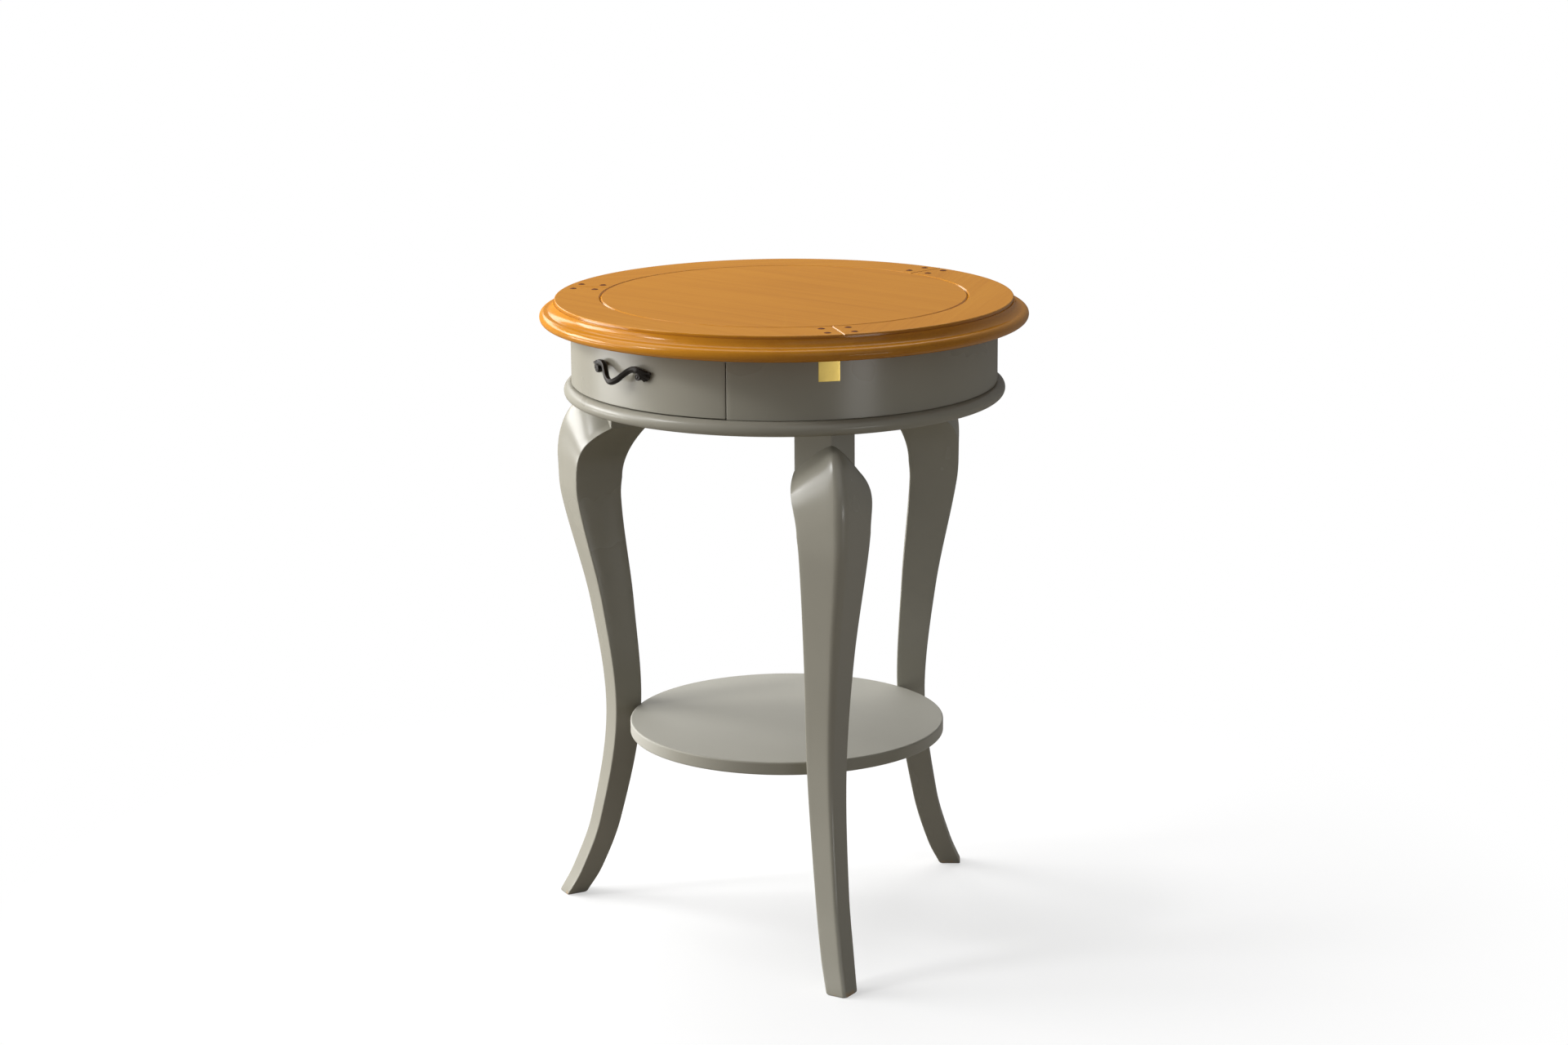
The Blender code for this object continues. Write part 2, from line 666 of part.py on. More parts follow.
def leg_ring(inner, arris_round, corner_round, level_at):
    """One ring round the leg: a square whose outer arris is rounded.

    level_at gives the outer faces' distance from the table's axis and the height, both at a
    share of the way from a side corner (0) to the arris (1).
    """
    near = inner + corner_round
    far = level_at(0.0)[0] - corner_round
    flat = level_at(1.0)[0] - arris_round
    corner = arc((near, near), corner_round, 180, 270, 2)
    right = arc((far, near), corner_round, 270, 360, 2)
    arris = arc((flat, flat), arris_round, 0, 90, 4)
    left = arc((near, far), corner_round, 90, 180, 2)
    face = [(near + (flat - near) * share, share) for share in LEG_FACE_SHARES]
    path = [(u, v, 0.0) for u, v in corner + right]
    path += [(level_at(share)[0], v, share) for v, share in face]
    path += [(u, v, 1.0) for u, v in arris]
    path += [(u, level_at(share)[0], share) for u, share in reversed(face)]
    path += [(u, v, 0.0) for u, v in left]
    half = sqrt(0.5)
    return [(half * (u - v), -half * (u + v), level_at(share)[1]) for u, v, share in path]


def shoulder_ring(turn):
    """A ring of the shoulder, which rounds over from knee to post as it turns by a right angle.

    At the side corners it leaves the knee lower than at the arris, and meets the post lower.
    """
    out = cos(turn)
    roll = (1 - out) ** (1 / SIDE_ROLL)
    knee_inner = leg_inner(KNEE_HEIGHT - SIDE_KNEE_DROP)
    inner = knee_inner + (POST_INNER - knee_inner) * roll**INNER_ROLL
    arris = POST_ROUND + (KNEE_ARRIS_ROUND - POST_ROUND) * out
    side = POST_ROUND + (SIDE_ROUND - POST_ROUND) * out

    def level_at(share):
        fall = (1 - share) ** SHOULDER_FALL
        knee = KNEE_HEIGHT - SIDE_KNEE_DROP * fall
        shown = POST_SHOWN_AT_ARRIS + (POST_SHOWN_AT_SIDES - POST_SHOWN_AT_ARRIS) * fall
        lift = sin(turn) + (roll - sin(turn)) * fall
        outer = POST_OUTER + (leg_outer(knee) - POST_OUTER) * out
        return outer, knee + (LEG_TOP - shown - knee) * lift

    return leg_ring(inner, arris, side, level_at)


def leg_rings():
    """All rings of the leg from its chamfered foot to the top of its post."""
    foot = (leg_outer(0.0) - FOOT_CHAMFER, 0.0)
    foot_inner = leg_inner(0.0) + FOOT_CHAMFER
    rings = [leg_ring(foot_inner, FOOT_ARRIS_ROUND, SIDE_ROUND, lambda share: foot)]
    levels = [z for z, _, _ in leg_stations()]
    heights = [FOOT_CHAMFER]
    for low, high in zip(levels, levels[1:]):
        pieces = round((high - low) / LEG_RING_STEP)
        heights += [low + (high - low) * k / pieces for k in range(1, pieces + 1)]
    for height in heights[:-1]:
        growth = (height / KNEE_HEIGHT) ** 2
        arris = FOOT_ARRIS_ROUND + (KNEE_ARRIS_ROUND - FOOT_ARRIS_ROUND) * growth
        level = (leg_outer(height), height)
        rings.append(leg_ring(leg_inner(height), arris, SIDE_ROUND, lambda share, at=level: at))
    rings += [shoulder_ring(pi / 2 * k / SHOULDER_RINGS) for k in range(SHOULDER_RINGS + 1)]
    post = (POST_OUTER, LEG_TOP)
    rings.append(leg_ring(POST_INNER, POST_ROUND, POST_ROUND, lambda share: post))
    return rings


def shelf_radius():
    """The shelf reaches just into a housing in the legs' inner corners."""
    return sqrt(2) * leg_inner(SHELF_MIDDLE) + SHELF_HOUSING


def shelf_outline(clearance):
    """(radius, height) outline of the shelf with eased edges, grown by a clearance."""
    radius = shelf_radius() + clearance
    high = SHELF_HEIGHT + clearance
    low = SHELF_HEIGHT - SHELF_THICKNESS - clearance
    outline = [(0, high), (radius - SHELF_EASE, high), (radius, high - SHELF_EASE)]
    outline += [(radius, low + SHELF_EASE), (radius - SHELF_EASE, low), (0, low)]
    return outline


def build_legs():
    """Legs under the base board with their bolts, washers and pins, and the shelf between them."""
    shelf_pin_start = shelf_radius() - SHELF_DOWEL_LENGTH / 2
    shelf_pin_end = shelf_radius() + SHELF_DOWEL_LENGTH / 2
    shelf_pin = ((0, -shelf_pin_start, SHELF_MIDDLE), (0, -shelf_pin_end, SHELF_MIDDLE))
    cutters = [
        turned("housing", shelf_outline(SEAT), DISC_STEPS),
        drill(
            BOLT_DIAMETER,
            (0, -POST_CENTRE, LEG_TOP - BOLT_REACH),
            (0, -POST_CENTRE, BASE_BOTTOM),
        ),
        drill(
            LEG_DOWEL_DIAMETER,
            (0, -LEG_DOWEL_PLACE, LEG_DOWEL_LOW),
            (0, -LEG_DOWEL_PLACE, BASE_BOTTOM),
        ),
        drill(SHELF_DOWEL_DIAMETER, *shelf_pin),
    ]
    leg = carved(loft("leg", leg_rings()), cutters)

    washer_low = ON_BASE
    washer_high = washer_low + WASHER_THICKNESS
    bore = (BOLT_DIAMETER / 2 + SEAT) / cos(pi / ROD_SIDES)
    rim = WASHER_DIAMETER / 2
    washer = turned(
        "leg_washer",
        [(rim, washer_high), (rim, washer_low), (bore, washer_low), (bore, washer_high)],
        ROD_SIDES,
    )
    washer = moved(washer, (0, -POST_CENTRE, 0))
    bolt = moved(
        hex_bolt("leg_bolt", washer_high + SEAT, LEG_TOP - BOLT_REACH), (0, -POST_CENTRE, 0)
    )
    pin = dowel("leg_dowel", LEG_DOWEL_DIAMETER, LEG_DOWEL_LOW, LEG_DOWEL_TOP)
    pin = moved(pin, (0, -LEG_DOWEL_PLACE, 0))
    tenon = dowel("shelf_dowel", SHELF_DOWEL_DIAMETER, shelf_pin_start, shelf_pin_end)
    tenon = laid_along_front(tenon, SHELF_MIDDLE)
    for name, angle in LEG_ANGLES.items():
        add(f"leg_{name}", leg, "leg_lacquer", angle=angle)
        add(f"leg_bolt_{name}", bolt, "zinc_steel", angle=angle)
        add(f"leg_washer_{name}", washer, "zinc_steel", angle=angle)
        add(f"leg_dowel_{name}", pin, "beech_pin", angle=angle)
        add(f"shelf_dowel_{name}", tenon, "beech_pin", angle=angle)

    holes = [
        turned_about_z(drill(SHELF_DOWEL_DIAMETER, *shelf_pin), angle)
        for angle in LEG_ANGLES.values()
    ]
    add("shelf", carved(turned("shelf", shelf_outline(0.0), DISC_STEPS), holes), "shelf_lacquer")


# Drawer


def build_guides():
    """Side guides, kickers above the drawer's sides, and stops behind its back."""
    inner = BOX_OUTER + SLIDE_SIDE
    middle = (BOX_OUTER + BOX_INNER) / 2
    for name, side in (("right", 1), ("left", -1)):
        across = sorted((side * inner, side * GUIDE_OUTER))
        low = (across[0], GUIDE_FRONT, ON_BASE)
        high = (across[1], BOX_BACK, ON_BASE + GUIDE_HEIGHT)
        add(f"drawer_guide_{name}", box("drawer_guide", low, high), "plain_wood")
        low = (side * middle - KICKER_WIDTH / 2, GUIDE_FRONT, SIDE_TOP + SLIDE_TOP)
        high = (side * middle + KICKER_WIDTH / 2, BOX_BACK, APRON_TOP)
        add(f"drawer_kicker_{name}", box("drawer_kicker", low, high), "plain_wood")
        low = (side * STOP_SPREAD - STOP_LENGTH / 2, BOX_BACK + SEAT, ON_BASE)
        high = (side * STOP_SPREAD + STOP_LENGTH / 2, BOX_BACK + STOP_DEPTH, ON_BASE + GUIDE_HEIGHT)
        add(f"drawer_stop_{name}", box("drawer_stop", low, high), "plain_wood")


def drawer_front_mesh():
    """The bowed front: grooved for the bottom, housed for the sides, drilled for the handle."""
    low = BASE_TOP + FRONT_GAP
    high = TOP_UNDERSIDE - SLIDE_TOP
    groove = FRONT_INNER + BOTTOM_GROOVE
    outline = [(APRON_RADIUS - FRONT_BEVEL, high), (APRON_RADIUS, high - FRONT_BEVEL)]
    outline += [(APRON_RADIUS, low + FRONT_BEVEL), (APRON_RADIUS - FRONT_BEVEL, low)]
    outline += [(FRONT_INNER, low), (FRONT_INNER, BOTTOM_LOW - SEAT), (groove, BOTTOM_LOW - SEAT)]
    outline += [(groove, BOTTOM_HIGH + SEAT), (FRONT_INNER, BOTTOM_HIGH + SEAT), (FRONT_INNER, high)]
    front = turned("drawer_front", outline, FRONT_STEPS, -FRONT_HALF_ANGLE, 2 * FRONT_HALF_ANGLE)
    cutters = []
    for side in (-1, 1):
        across = sorted((side * (BOX_INNER - SEAT), side * (BOX_OUTER + SEAT)))
        deep = (across[0], SIDE_FRONT - SEAT, ON_BASE - FRONT_GAP)
        shallow = (across[1], GUIDE_FRONT, SIDE_TOP + SEAT)
        cutters.append(box("side_housing", deep, shallow))
        angle = side * degrees(HANDLE_SCREW_PLACE / APRON_RADIUS)
        hole = (
            polar(FRONT_INNER - SEAT, angle, HANDLE_HEIGHT),
            polar(APRON_RADIUS + SEAT, angle, HANDLE_HEIGHT),
        )
        cutters.append(drill(SCREW_DIAMETER, *hole))
    return carved(front, cutters)


def drawer_side_mesh(side):
    """A straight side with a groove for the bottom; side is 1 for the right, -1 for the left."""
    groove = BOX_INNER + BOTTOM_GROOVE
    outline = [(BOX_INNER, ON_BASE), (BOX_OUTER, ON_BASE)]
    outline += [(BOX_OUTER, SIDE_TOP), (BOX_INNER, SIDE_TOP)]
    outline += [(BOX_INNER, BOTTOM_HIGH + SEAT), (groove, BOTTOM_HIGH + SEAT)]
    outline += [(groove, BOTTOM_LOW - SEAT), (BOX_INNER, BOTTOM_LOW - SEAT)]
    return board_along_y("drawer_side", [(side * x, z) for x, z in outline], SIDE_FRONT, BOX_BACK)


def drawer_bottom_mesh():
    """The bottom panel: straight at the back and sides, bowed in front like the drawer front."""
    half = BOX_INNER + BOTTOM_GROOVE - SEAT
    bow = FRONT_INNER + BOTTOM_GROOVE - SEAT
    spread = degrees(asin(half / bow))
    outline = arc((0, 0), bow, 270 - spread, 270 + spread, FRONT_STEPS)
    outline += [(half, BOX_BACK), (-half, BOX_BACK)]
    return board_along_z("drawer_bottom", outline, BOTTOM_LOW, BOTTOM_HIGH)


def both_ways(points):
    """(place, value) points from the middle outwards, mirrored to the other side of it."""
    return [(-place, value) for place, value in reversed(points[1:])] + points


def handle_mesh():
    """The bow handle, skinned along a curve that is laid round the drawer front."""
    end = HANDLE_HALF_LENGTH
    rod = HANDLE_ROD / 2
    leaf = LEAF_THICKNESS / 2
    tip = HANDLE_TIP / 2
    middle = CREST_PLACE / 2
    stand = [(0, TROUGH_STAND), (middle, (CREST_STAND + TROUGH_STAND) / 2)]
    stand += [(CREST_PLACE, CREST_STAND), (NECK_PLACE, SEAT + leaf)]
    stand += [(LEAF_PLACE, SEAT + leaf), (end, SEAT + tip)]
    rise = [(0, -TROUGH_DROP), (middle, (CREST_RISE - TROUGH_DROP) / 2)]
    rise += [(CREST_PLACE, CREST_RISE), (NECK_PLACE, 0), (LEAF_PLACE, 0), (end, 0)]
    height = [(0, rod), (CREST_PLACE, rod), (NECK_PLACE, NECK_HEIGHT / 2)]
    height += [(LEAF_PLACE, LEAF_HEIGHT / 2), (end, tip)]
    depth = [(0, rod), (CREST_PLACE, rod), (NECK_PLACE, leaf), (LEAF_PLACE, leaf), (end, tip)]
    stand, rise, height, depth = map(both_ways, (stand, rise, height, depth))

    def centre(place):
        return Vector((place, through(stand, place), through(rise, place)))

    rings = []
    for k in range(HANDLE_RINGS + 1):
        place = -end + 2 * end * k / HANDLE_RINGS
        step = end / HANDLE_RINGS
        before = centre(max(place - step, -end))
        after = centre(min(place + step, end))
        along = (after - before).normalized()
        up = (Vector((0, 0, 1)) - along * along.z).normalized()
        out = along.cross(up)
        ring = []
        for n in range(HANDLE_SIDES):
            turn = 2 * pi * n / HANDLE_SIDES
            high = through(height, place) * sin(turn)
            wide = through(depth, place) * cos(turn)
            point = centre(place) + up * high + out * wide
            angle = degrees(point.x / APRON_RADIUS)
            ring.append(polar(APRON_RADIUS + max(point.y, SEAT), angle, HANDLE_HEIGHT + point.z))
        rings.append(ring)
    cutters = []
    for side in (-1, 1):
        angle = side * degrees(HANDLE_SCREW_PLACE / APRON_RADIUS)
        start = polar(APRON_RADIUS - SEAT, angle, HANDLE_HEIGHT)
        stop = polar(APRON_RADIUS + SEAT + HANDLE_SCREW_BITE, angle, HANDLE_HEIGHT)
        cutters.append(drill(SCREW_DIAMETER, start, stop))
    return carved(loft("drawer_handle", rings), cutters)


def build_drawer():
    """The drawer, carried by one point on its line of travel."""
    travel = add_empty("drawer_travel", (0, -APRON_RADIUS, SIDE_TOP))
    add("drawer_front", drawer_front_mesh(), "front_lacquer", parent=travel)
    add("drawer_side_right", drawer_side_mesh(1), "plain_wood", parent=travel)
    add("drawer_side_left", drawer_side_mesh(-1), "plain_wood", parent=travel)
    low = (SEAT - BOX_INNER, BOX_BACK - BACK_THICKNESS, BOTTOM_HIGH + SEAT)
    high = (BOX_INNER - SEAT, BOX_BACK, SIDE_TOP - BACK_DROP)
    add("drawer_back", box("drawer_back", low, high), "plain_wood", parent=travel)
    add("drawer_bottom", drawer_bottom_mesh(), "plywood", parent=travel)
    add("drawer_handle", handle_mesh(), "black_iron", parent=travel)
    fixing = upward_screw(
        "handle_screw", FRONT_INNER - SEAT, APRON_RADIUS + SEAT + HANDLE_SCREW_BITE
    )
    fixing = laid_along_front(fixing, HANDLE_HEIGHT)
    angle = degrees(HANDLE_SCREW_PLACE / APRON_RADIUS)
    add("handle_screw_right", fixing, "zinc_steel", angle=angle, parent=travel)
    add("handle_screw_left", fixing, "zinc_steel", angle=-angle, parent=travel)


def main():
    """Clears the scene and builds the table."""
    for leftover in list(bpy.data.objects):
        bpy.data.objects.remove(leftover)
    build_top()
    build_carcass()
    build_legs()
    build_guides()
    build_drawer()


main()
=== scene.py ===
"""Looks of a round side table with one drawer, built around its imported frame.

Metres, +Z up. The table stands on the floor with its axis at the origin, and its drawer opens
towards -Y. A place around the table is an angle in degrees from -Y, positive towards +X.
"""

import logging
from dataclasses import dataclass, replace
from enum import Enum
from math import acos, cos, degrees, pi, radians, sin, sqrt, tan
from typing import Any, Callable, Sequence

import bmesh
import bpy
from mathutils import Matrix, Vector

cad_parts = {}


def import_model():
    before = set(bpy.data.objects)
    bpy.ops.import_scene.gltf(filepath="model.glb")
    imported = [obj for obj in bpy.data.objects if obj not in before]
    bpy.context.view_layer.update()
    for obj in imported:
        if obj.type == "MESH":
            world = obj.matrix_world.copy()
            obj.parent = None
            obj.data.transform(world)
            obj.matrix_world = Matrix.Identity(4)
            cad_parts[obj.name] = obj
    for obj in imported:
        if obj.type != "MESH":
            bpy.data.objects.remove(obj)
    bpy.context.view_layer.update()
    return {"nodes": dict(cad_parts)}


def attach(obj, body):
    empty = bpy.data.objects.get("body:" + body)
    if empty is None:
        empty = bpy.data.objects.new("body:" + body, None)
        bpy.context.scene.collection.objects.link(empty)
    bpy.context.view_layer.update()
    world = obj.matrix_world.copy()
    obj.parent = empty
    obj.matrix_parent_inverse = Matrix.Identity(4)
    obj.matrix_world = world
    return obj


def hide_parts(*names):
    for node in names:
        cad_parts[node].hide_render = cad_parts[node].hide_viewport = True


LOG = logging.getLogger("side_table")
FULL_TURN = 360.0
MERGE = 1e-6
CARCASS = "carcass"
DRAWER = "drawer"
UNDERCOAT = 0.8

Colour = tuple[float, float, float]
Place = tuple[float, float, float]
Station = tuple[float, float, float, float]
Level = tuple[float, float]
Span = tuple[float, float]
Line = list[tuple[float, float]]
Piece = bpy.types.Object
Socket = bpy.types.NodeSocket


def polar(radius: float, angle: float, height: float) -> Vector:
    """The point at a radius and an angle from -Y, positive towards +X."""
    return Vector((radius * sin(radians(angle)), -radius * cos(radians(angle)), height))


def arc(centre: tuple[float, float], radius: float, start: float, end: float, steps: int) -> Line:
    """Points on an arc in an outline's plane.

    Args:
        centre: The arc's centre, as radius and height.
        radius: The arc's own radius.
        start: The first angle, in degrees from the outline's outward axis.
        end: The last angle.
        steps: How many pieces the arc has.

    Returns:
        The points from start to end.
    """
    angles = [radians(start + (end - start) * k / steps) for k in range(steps + 1)]
    return [(centre[0] + radius * cos(a), centre[1] + radius * sin(a)) for a in angles]


def through(points: Sequence[tuple[float, float]], at: float) -> float:
    """A smooth curve through (place, value) points: cubic pieces that share their slopes.

    Args:
        points: The places and their values, in rising order of place.
        at: The place that is asked for.

    Returns:
        The curve's value there.
    """
    last = len(points) - 1
    slopes = []
    for k in range(len(points)):
        before = points[max(k - 1, 0)]
        after = points[min(k + 1, last)]
        slopes.append((after[1] - before[1]) / (after[0] - before[0]))
    k = 0
    while k < last - 1 and at > points[k + 1][0]:
        k += 1
    (start, low), (end, high) = points[k], points[k + 1]
    t = (at - start) / (end - start)
    blend = 3 * t**2 - 2 * t**3
    lean = (t**3 - 2 * t**2 + t) * slopes[k] + (t**3 - t**2) * slopes[k + 1]
    return low + (high - low) * blend + (end - start) * lean


@dataclass(frozen=True)
class Corner:
    """A corner of an outline, with the radius to which it is eased."""

    radius: float
    height: float
    ease: float = 0.0


@dataclass(frozen=True)
class Outline:
    """An outline of (radius, height) corners, eased where a hand would ease them."""

    corners: Sequence[Corner]
    closed: bool = False
    steps: int = 5
    hold: float = 0.0004

    def line(self) -> Line:
        """The outline's points, with a holding point on each side of an eased corner.

        Returns:
            The points. A closed outline ends with its first point.
        """
        spots = [Vector((corner.radius, corner.height)) for corner in self.corners]
        count = len(spots)
        line: list[Vector] = []
        for k, corner in enumerate(self.corners):
            if corner.ease == 0.0:
                line.append(spots[k])
                continue
            back = spots[k - 1] - spots[k]
            ahead = spots[(k + 1) % count] - spots[k]
            line += self.eased(spots[k], back, ahead, corner.ease)
        if self.closed:
            line.append(line[0])
        return [(point.x, point.y) for point in line]

    def eased(self, spot: Vector, back: Vector, ahead: Vector, ease: float) -> list[Vector]:
        """The arc that takes the place of one corner.

        Args:
            spot: The corner.
            back: The way to the corner before it.
            ahead: The way to the corner after it.
            ease: The arc's radius.

        Returns:
            The arc's points, with the holding points that fit.
        """
        half = back.angle(ahead) / 2
        reach = ease / tan(half)
        first = back.normalized()
        second = ahead.normalized()
        centre = spot + (first + second).normalized() * ease / sin(half)
        start = spot + first * reach - centre
        end = spot + second * reach - centre
        turn = start.angle(end)
        points = []
        for k in range(self.steps + 1):
            t = turn * k / self.steps
            points.append(centre + (start * sin(turn - t) + end * sin(t)) / sin(turn))
        if back.length > 2 * (reach + self.hold):
            points.insert(0, spot + first * (reach + self.hold))
        if ahead.length > 2 * (reach + self.hold):
            points.append(spot + second * (reach + self.hold))
        return points


class Bench:
    """Blender's modelling tools, used on one piece at a time."""

    @staticmethod
    def clear() -> None:
        """Leaves edit mode and deselects everything."""
        if bpy.context.mode != "OBJECT":
            bpy.ops.object.mode_set(mode="OBJECT")
        bpy.ops.object.select_all(action="DESELECT")

    @classmethod
    def take(cls, *pieces: Piece) -> Piece:
        """Selects pieces alone and makes the first of them active.

        Args:
            pieces: The pieces.

        Returns:
            The first of them.
        """
        cls.clear()
        for piece in pieces:
            piece.select_set(True)
        bpy.context.view_layer.objects.active = pieces[0]
        return pieces[0]

    @classmethod
    def edit(cls, piece: Piece, select: str = "SELECT") -> bmesh.types.BMesh:
        """Opens a piece in edit mode with all or nothing selected.

        Args:
            piece: The piece.
            select: What is done to the selection.

        Returns:
            The piece's mesh.
        """
        cls.take(piece)
        bpy.ops.object.mode_set(mode="EDIT")
        bpy.ops.mesh.select_mode(type="VERT")
        bpy.ops.mesh.select_all(action=select)
        return bmesh.from_edit_mesh(piece.data)

    @staticmethod
    def named(name: str) -> Piece:
        """Gives the active object and its data a name.

        Args:
            name: The name.

        Returns:
            The object.
        """
        piece = bpy.context.object
        piece.name = name
        piece.data.name = name
        return piece

    @classmethod
    def draw(cls, name: str, points: Sequence[Vector]) -> Piece:
        """Draws a line by extruding one vertex from point to point.

        Args:
            name: The piece's name.
            points: The line's points.

        Returns:
            The piece, still in edit mode with all of it selected.
        """
        cls.clear()
        bpy.ops.mesh.primitive_plane_add(size=0.001, location=points[0])
        piece = cls.named(name)
        bpy.ops.object.mode_set(mode="EDIT")
        bpy.ops.mesh.select_mode(type="VERT")
        bpy.ops.mesh.select_all(action="SELECT")
        bpy.ops.mesh.merge(type="CENTER")
        for before, after in zip(points, points[1:]):
            bpy.ops.mesh.extrude_vertices_move(TRANSFORM_OT_translate={"value": after - before})
        bpy.ops.mesh.select_all(action="SELECT")
        bpy.ops.mesh.remove_doubles(threshold=MERGE)
        return piece

    @classmethod
    def turn(
        cls, name: str, line: Line, steps: int, start: float = 0.0, sweep: float = FULL_TURN
    ) -> Piece:
        """Spins a drawn outline about the table's axis, and closes the ends of a part turn.

        Args:
            name: The piece's name.
            line: The outline's (radius, height) points.
            steps: How many pieces the turn has.
            start: The angle where the outline is drawn.
            sweep: The angle through which it is spun.

        Returns:
            The piece.
        """
        piece = cls.draw(name, [polar(radius, start, height) for radius, height in line])
        bpy.ops.mesh.spin(steps=steps, angle=radians(sweep), center=(0, 0, 0), axis=(0, 0, -1))
        bpy.ops.mesh.select_all(action="SELECT")
        bpy.ops.mesh.remove_doubles(threshold=MERGE)
        if sweep < FULL_TURN:
            for angle in (start, start + sweep):
                cls.pick_end(piece, angle)
                bpy.ops.mesh.edge_face_add()
        return cls.closed(piece)

    @staticmethod
    def pick_end(piece: Piece, angle: float) -> None:
        """Selects the edges that lie in the plane of one end of a part turn, in edit mode.

        Args:
            piece: The piece, which is in edit mode.
            angle: The end's angle.
        """
        bpy.ops.mesh.select_all(action="DESELECT")
        bpy.ops.mesh.select_mode(type="EDGE")
        across = polar(1.0, angle + 90.0, 0.0)
        outward = polar(1.0, angle, 0.0)
        near = MERGE * 10
        world = piece.matrix_world
        mesh = bmesh.from_edit_mesh(piece.data)
        for edge in mesh.edges:
            ends = [world @ vert.co for vert in edge.verts]
            edge.select_set(all(abs(end @ across) < near and end @ outward > 0 for end in ends))
        bmesh.update_edit_mesh(piece.data)

    @classmethod
    def ease_end(cls, piece: Piece, angle: float, ease: float) -> None:
        """Bevels the edges round one end of a part turn.

        Args:
            piece: The piece.
            angle: The end's angle.
            ease: The bevel's width.
        """
        cls.edit(piece)
        cls.pick_end(piece, angle)
        bpy.ops.mesh.bevel(offset=ease, segments=3, affect="EDGES")
        cls.closed(piece)

    @classmethod
    def closed(cls, piece: Piece) -> Piece:
        """Merges doubles, turns the faces outwards and puts the place into the mesh.

        Args:
            piece: The piece.

        Returns:
            The piece, in object mode.
        """
        cls.edit(piece)
        bpy.ops.mesh.remove_doubles(threshold=MERGE)
        bpy.ops.mesh.normals_make_consistent(inside=False)
        cls.take(piece)
        bpy.ops.object.transform_apply(location=True, rotation=True, scale=True)
        return piece

    @classmethod
    def smooth(cls, piece: Piece, angle: float = 32.0) -> Piece:
        """Shades a piece smooth, except at edges sharper than an angle.

        Args:
            piece: The piece.
            angle: The angle, in degrees.

        Returns:
            The piece.
        """
        cls.take(piece)
        bpy.ops.object.shade_smooth_by_angle(angle=radians(angle))
        return piece

    @classmethod
    def loft(cls, name: str, rings: Sequence[Sequence[Vector]]) -> Piece:
        """Extrudes a face from ring to ring and shapes it at each one.

        Args:
            name: The piece's name.
            rings: Rings of equally many points.

        Returns:
            The closed piece.
        """
        cls.clear()
        bpy.ops.mesh.primitive_circle_add(vertices=len(rings[0]), radius=0.02, fill_type="NGON")
        piece = cls.named(name)
        mesh = cls.edit(piece)
        mesh.faces.ensure_lookup_table()
        for loop, point in zip(mesh.faces[0].loops, rings[0]):
            loop.vert.co = point
        bmesh.update_edit_mesh(piece.data)
        for lower, upper in zip(rings, rings[1:]):
            bpy.ops.mesh.extrude_region_move(TRANSFORM_OT_translate={"value": (0, 0, 0)})
            target = {Vector(old).freeze(): new for old, new in zip(lower, upper)}
            mesh = bmesh.from_edit_mesh(piece.data)
            for vert in [vert for vert in mesh.verts if vert.select]:
                vert.co = target[vert.co.copy().freeze()]
            bmesh.update_edit_mesh(piece.data)
        return cls.closed(piece)

    @classmethod
    def carve(cls, piece: Piece, *cutters: Piece) -> Piece:
        """Takes the cutters' volumes away from a piece.

        Args:
            piece: The piece.
            cutters: Closed shapes, which are used up.

        Returns:
            The piece.
        """
        for cutter in cutters:
            cls.take(piece)
            bpy.ops.object.modifier_add(type="BOOLEAN")
            cut = piece.modifiers[-1]
            cut.operation = "DIFFERENCE"
            cut.solver = "EXACT"
            cut.object = cutter
            bpy.ops.object.modifier_apply(modifier=cut.name)
            bpy.data.objects.remove(cutter)
        return piece

    @classmethod
    def block(cls, low: Sequence[float], high: Sequence[float], angle: float = 0.0) -> Piece:
        """A box for carving, turned about the table's axis.

        Args:
            low: The box's lowest corner before it is turned.
            high: Its highest corner.
            angle: The turn, in degrees.

        Returns:
            The box.
        """
        cls.clear()
        bpy.ops.mesh.primitive_cube_add(size=1.0)
        box = cls.named("cutter")
        size = [b - a for a, b in zip(low, high)]
        middle = [(a + b) / 2 for a, b in zip(low, high)]
        box.data.transform(Matrix.Translation(middle) @ Matrix.Diagonal((*size, 1.0)))
        box.data.transform(Matrix.Rotation(radians(angle), 4, "Z"))
        return box

    @classmethod
    def copy(cls, piece: Piece, name: str, angle: float = 0.0, shift: Place = (0, 0, 0)) -> Piece:
        """Copies a finished piece with its own mesh, moves it and turns it about the axis.

        Args:
            piece: The piece that is copied.
            name: The copy's name.
            angle: How far the copy is turned, in degrees.
            shift: How far it is moved before that.

        Returns:
            The copy.
        """
        cls.take(piece)
        bpy.ops.object.duplicate(linked=False)
        copy = cls.named(name)
        copy.location = Matrix.Rotation(radians(angle), 3, "Z") @ Vector(shift)
        copy.rotation_euler.z = radians(angle)
        bpy.ops.object.transform_apply(location=True, rotation=True, scale=True)
        return copy


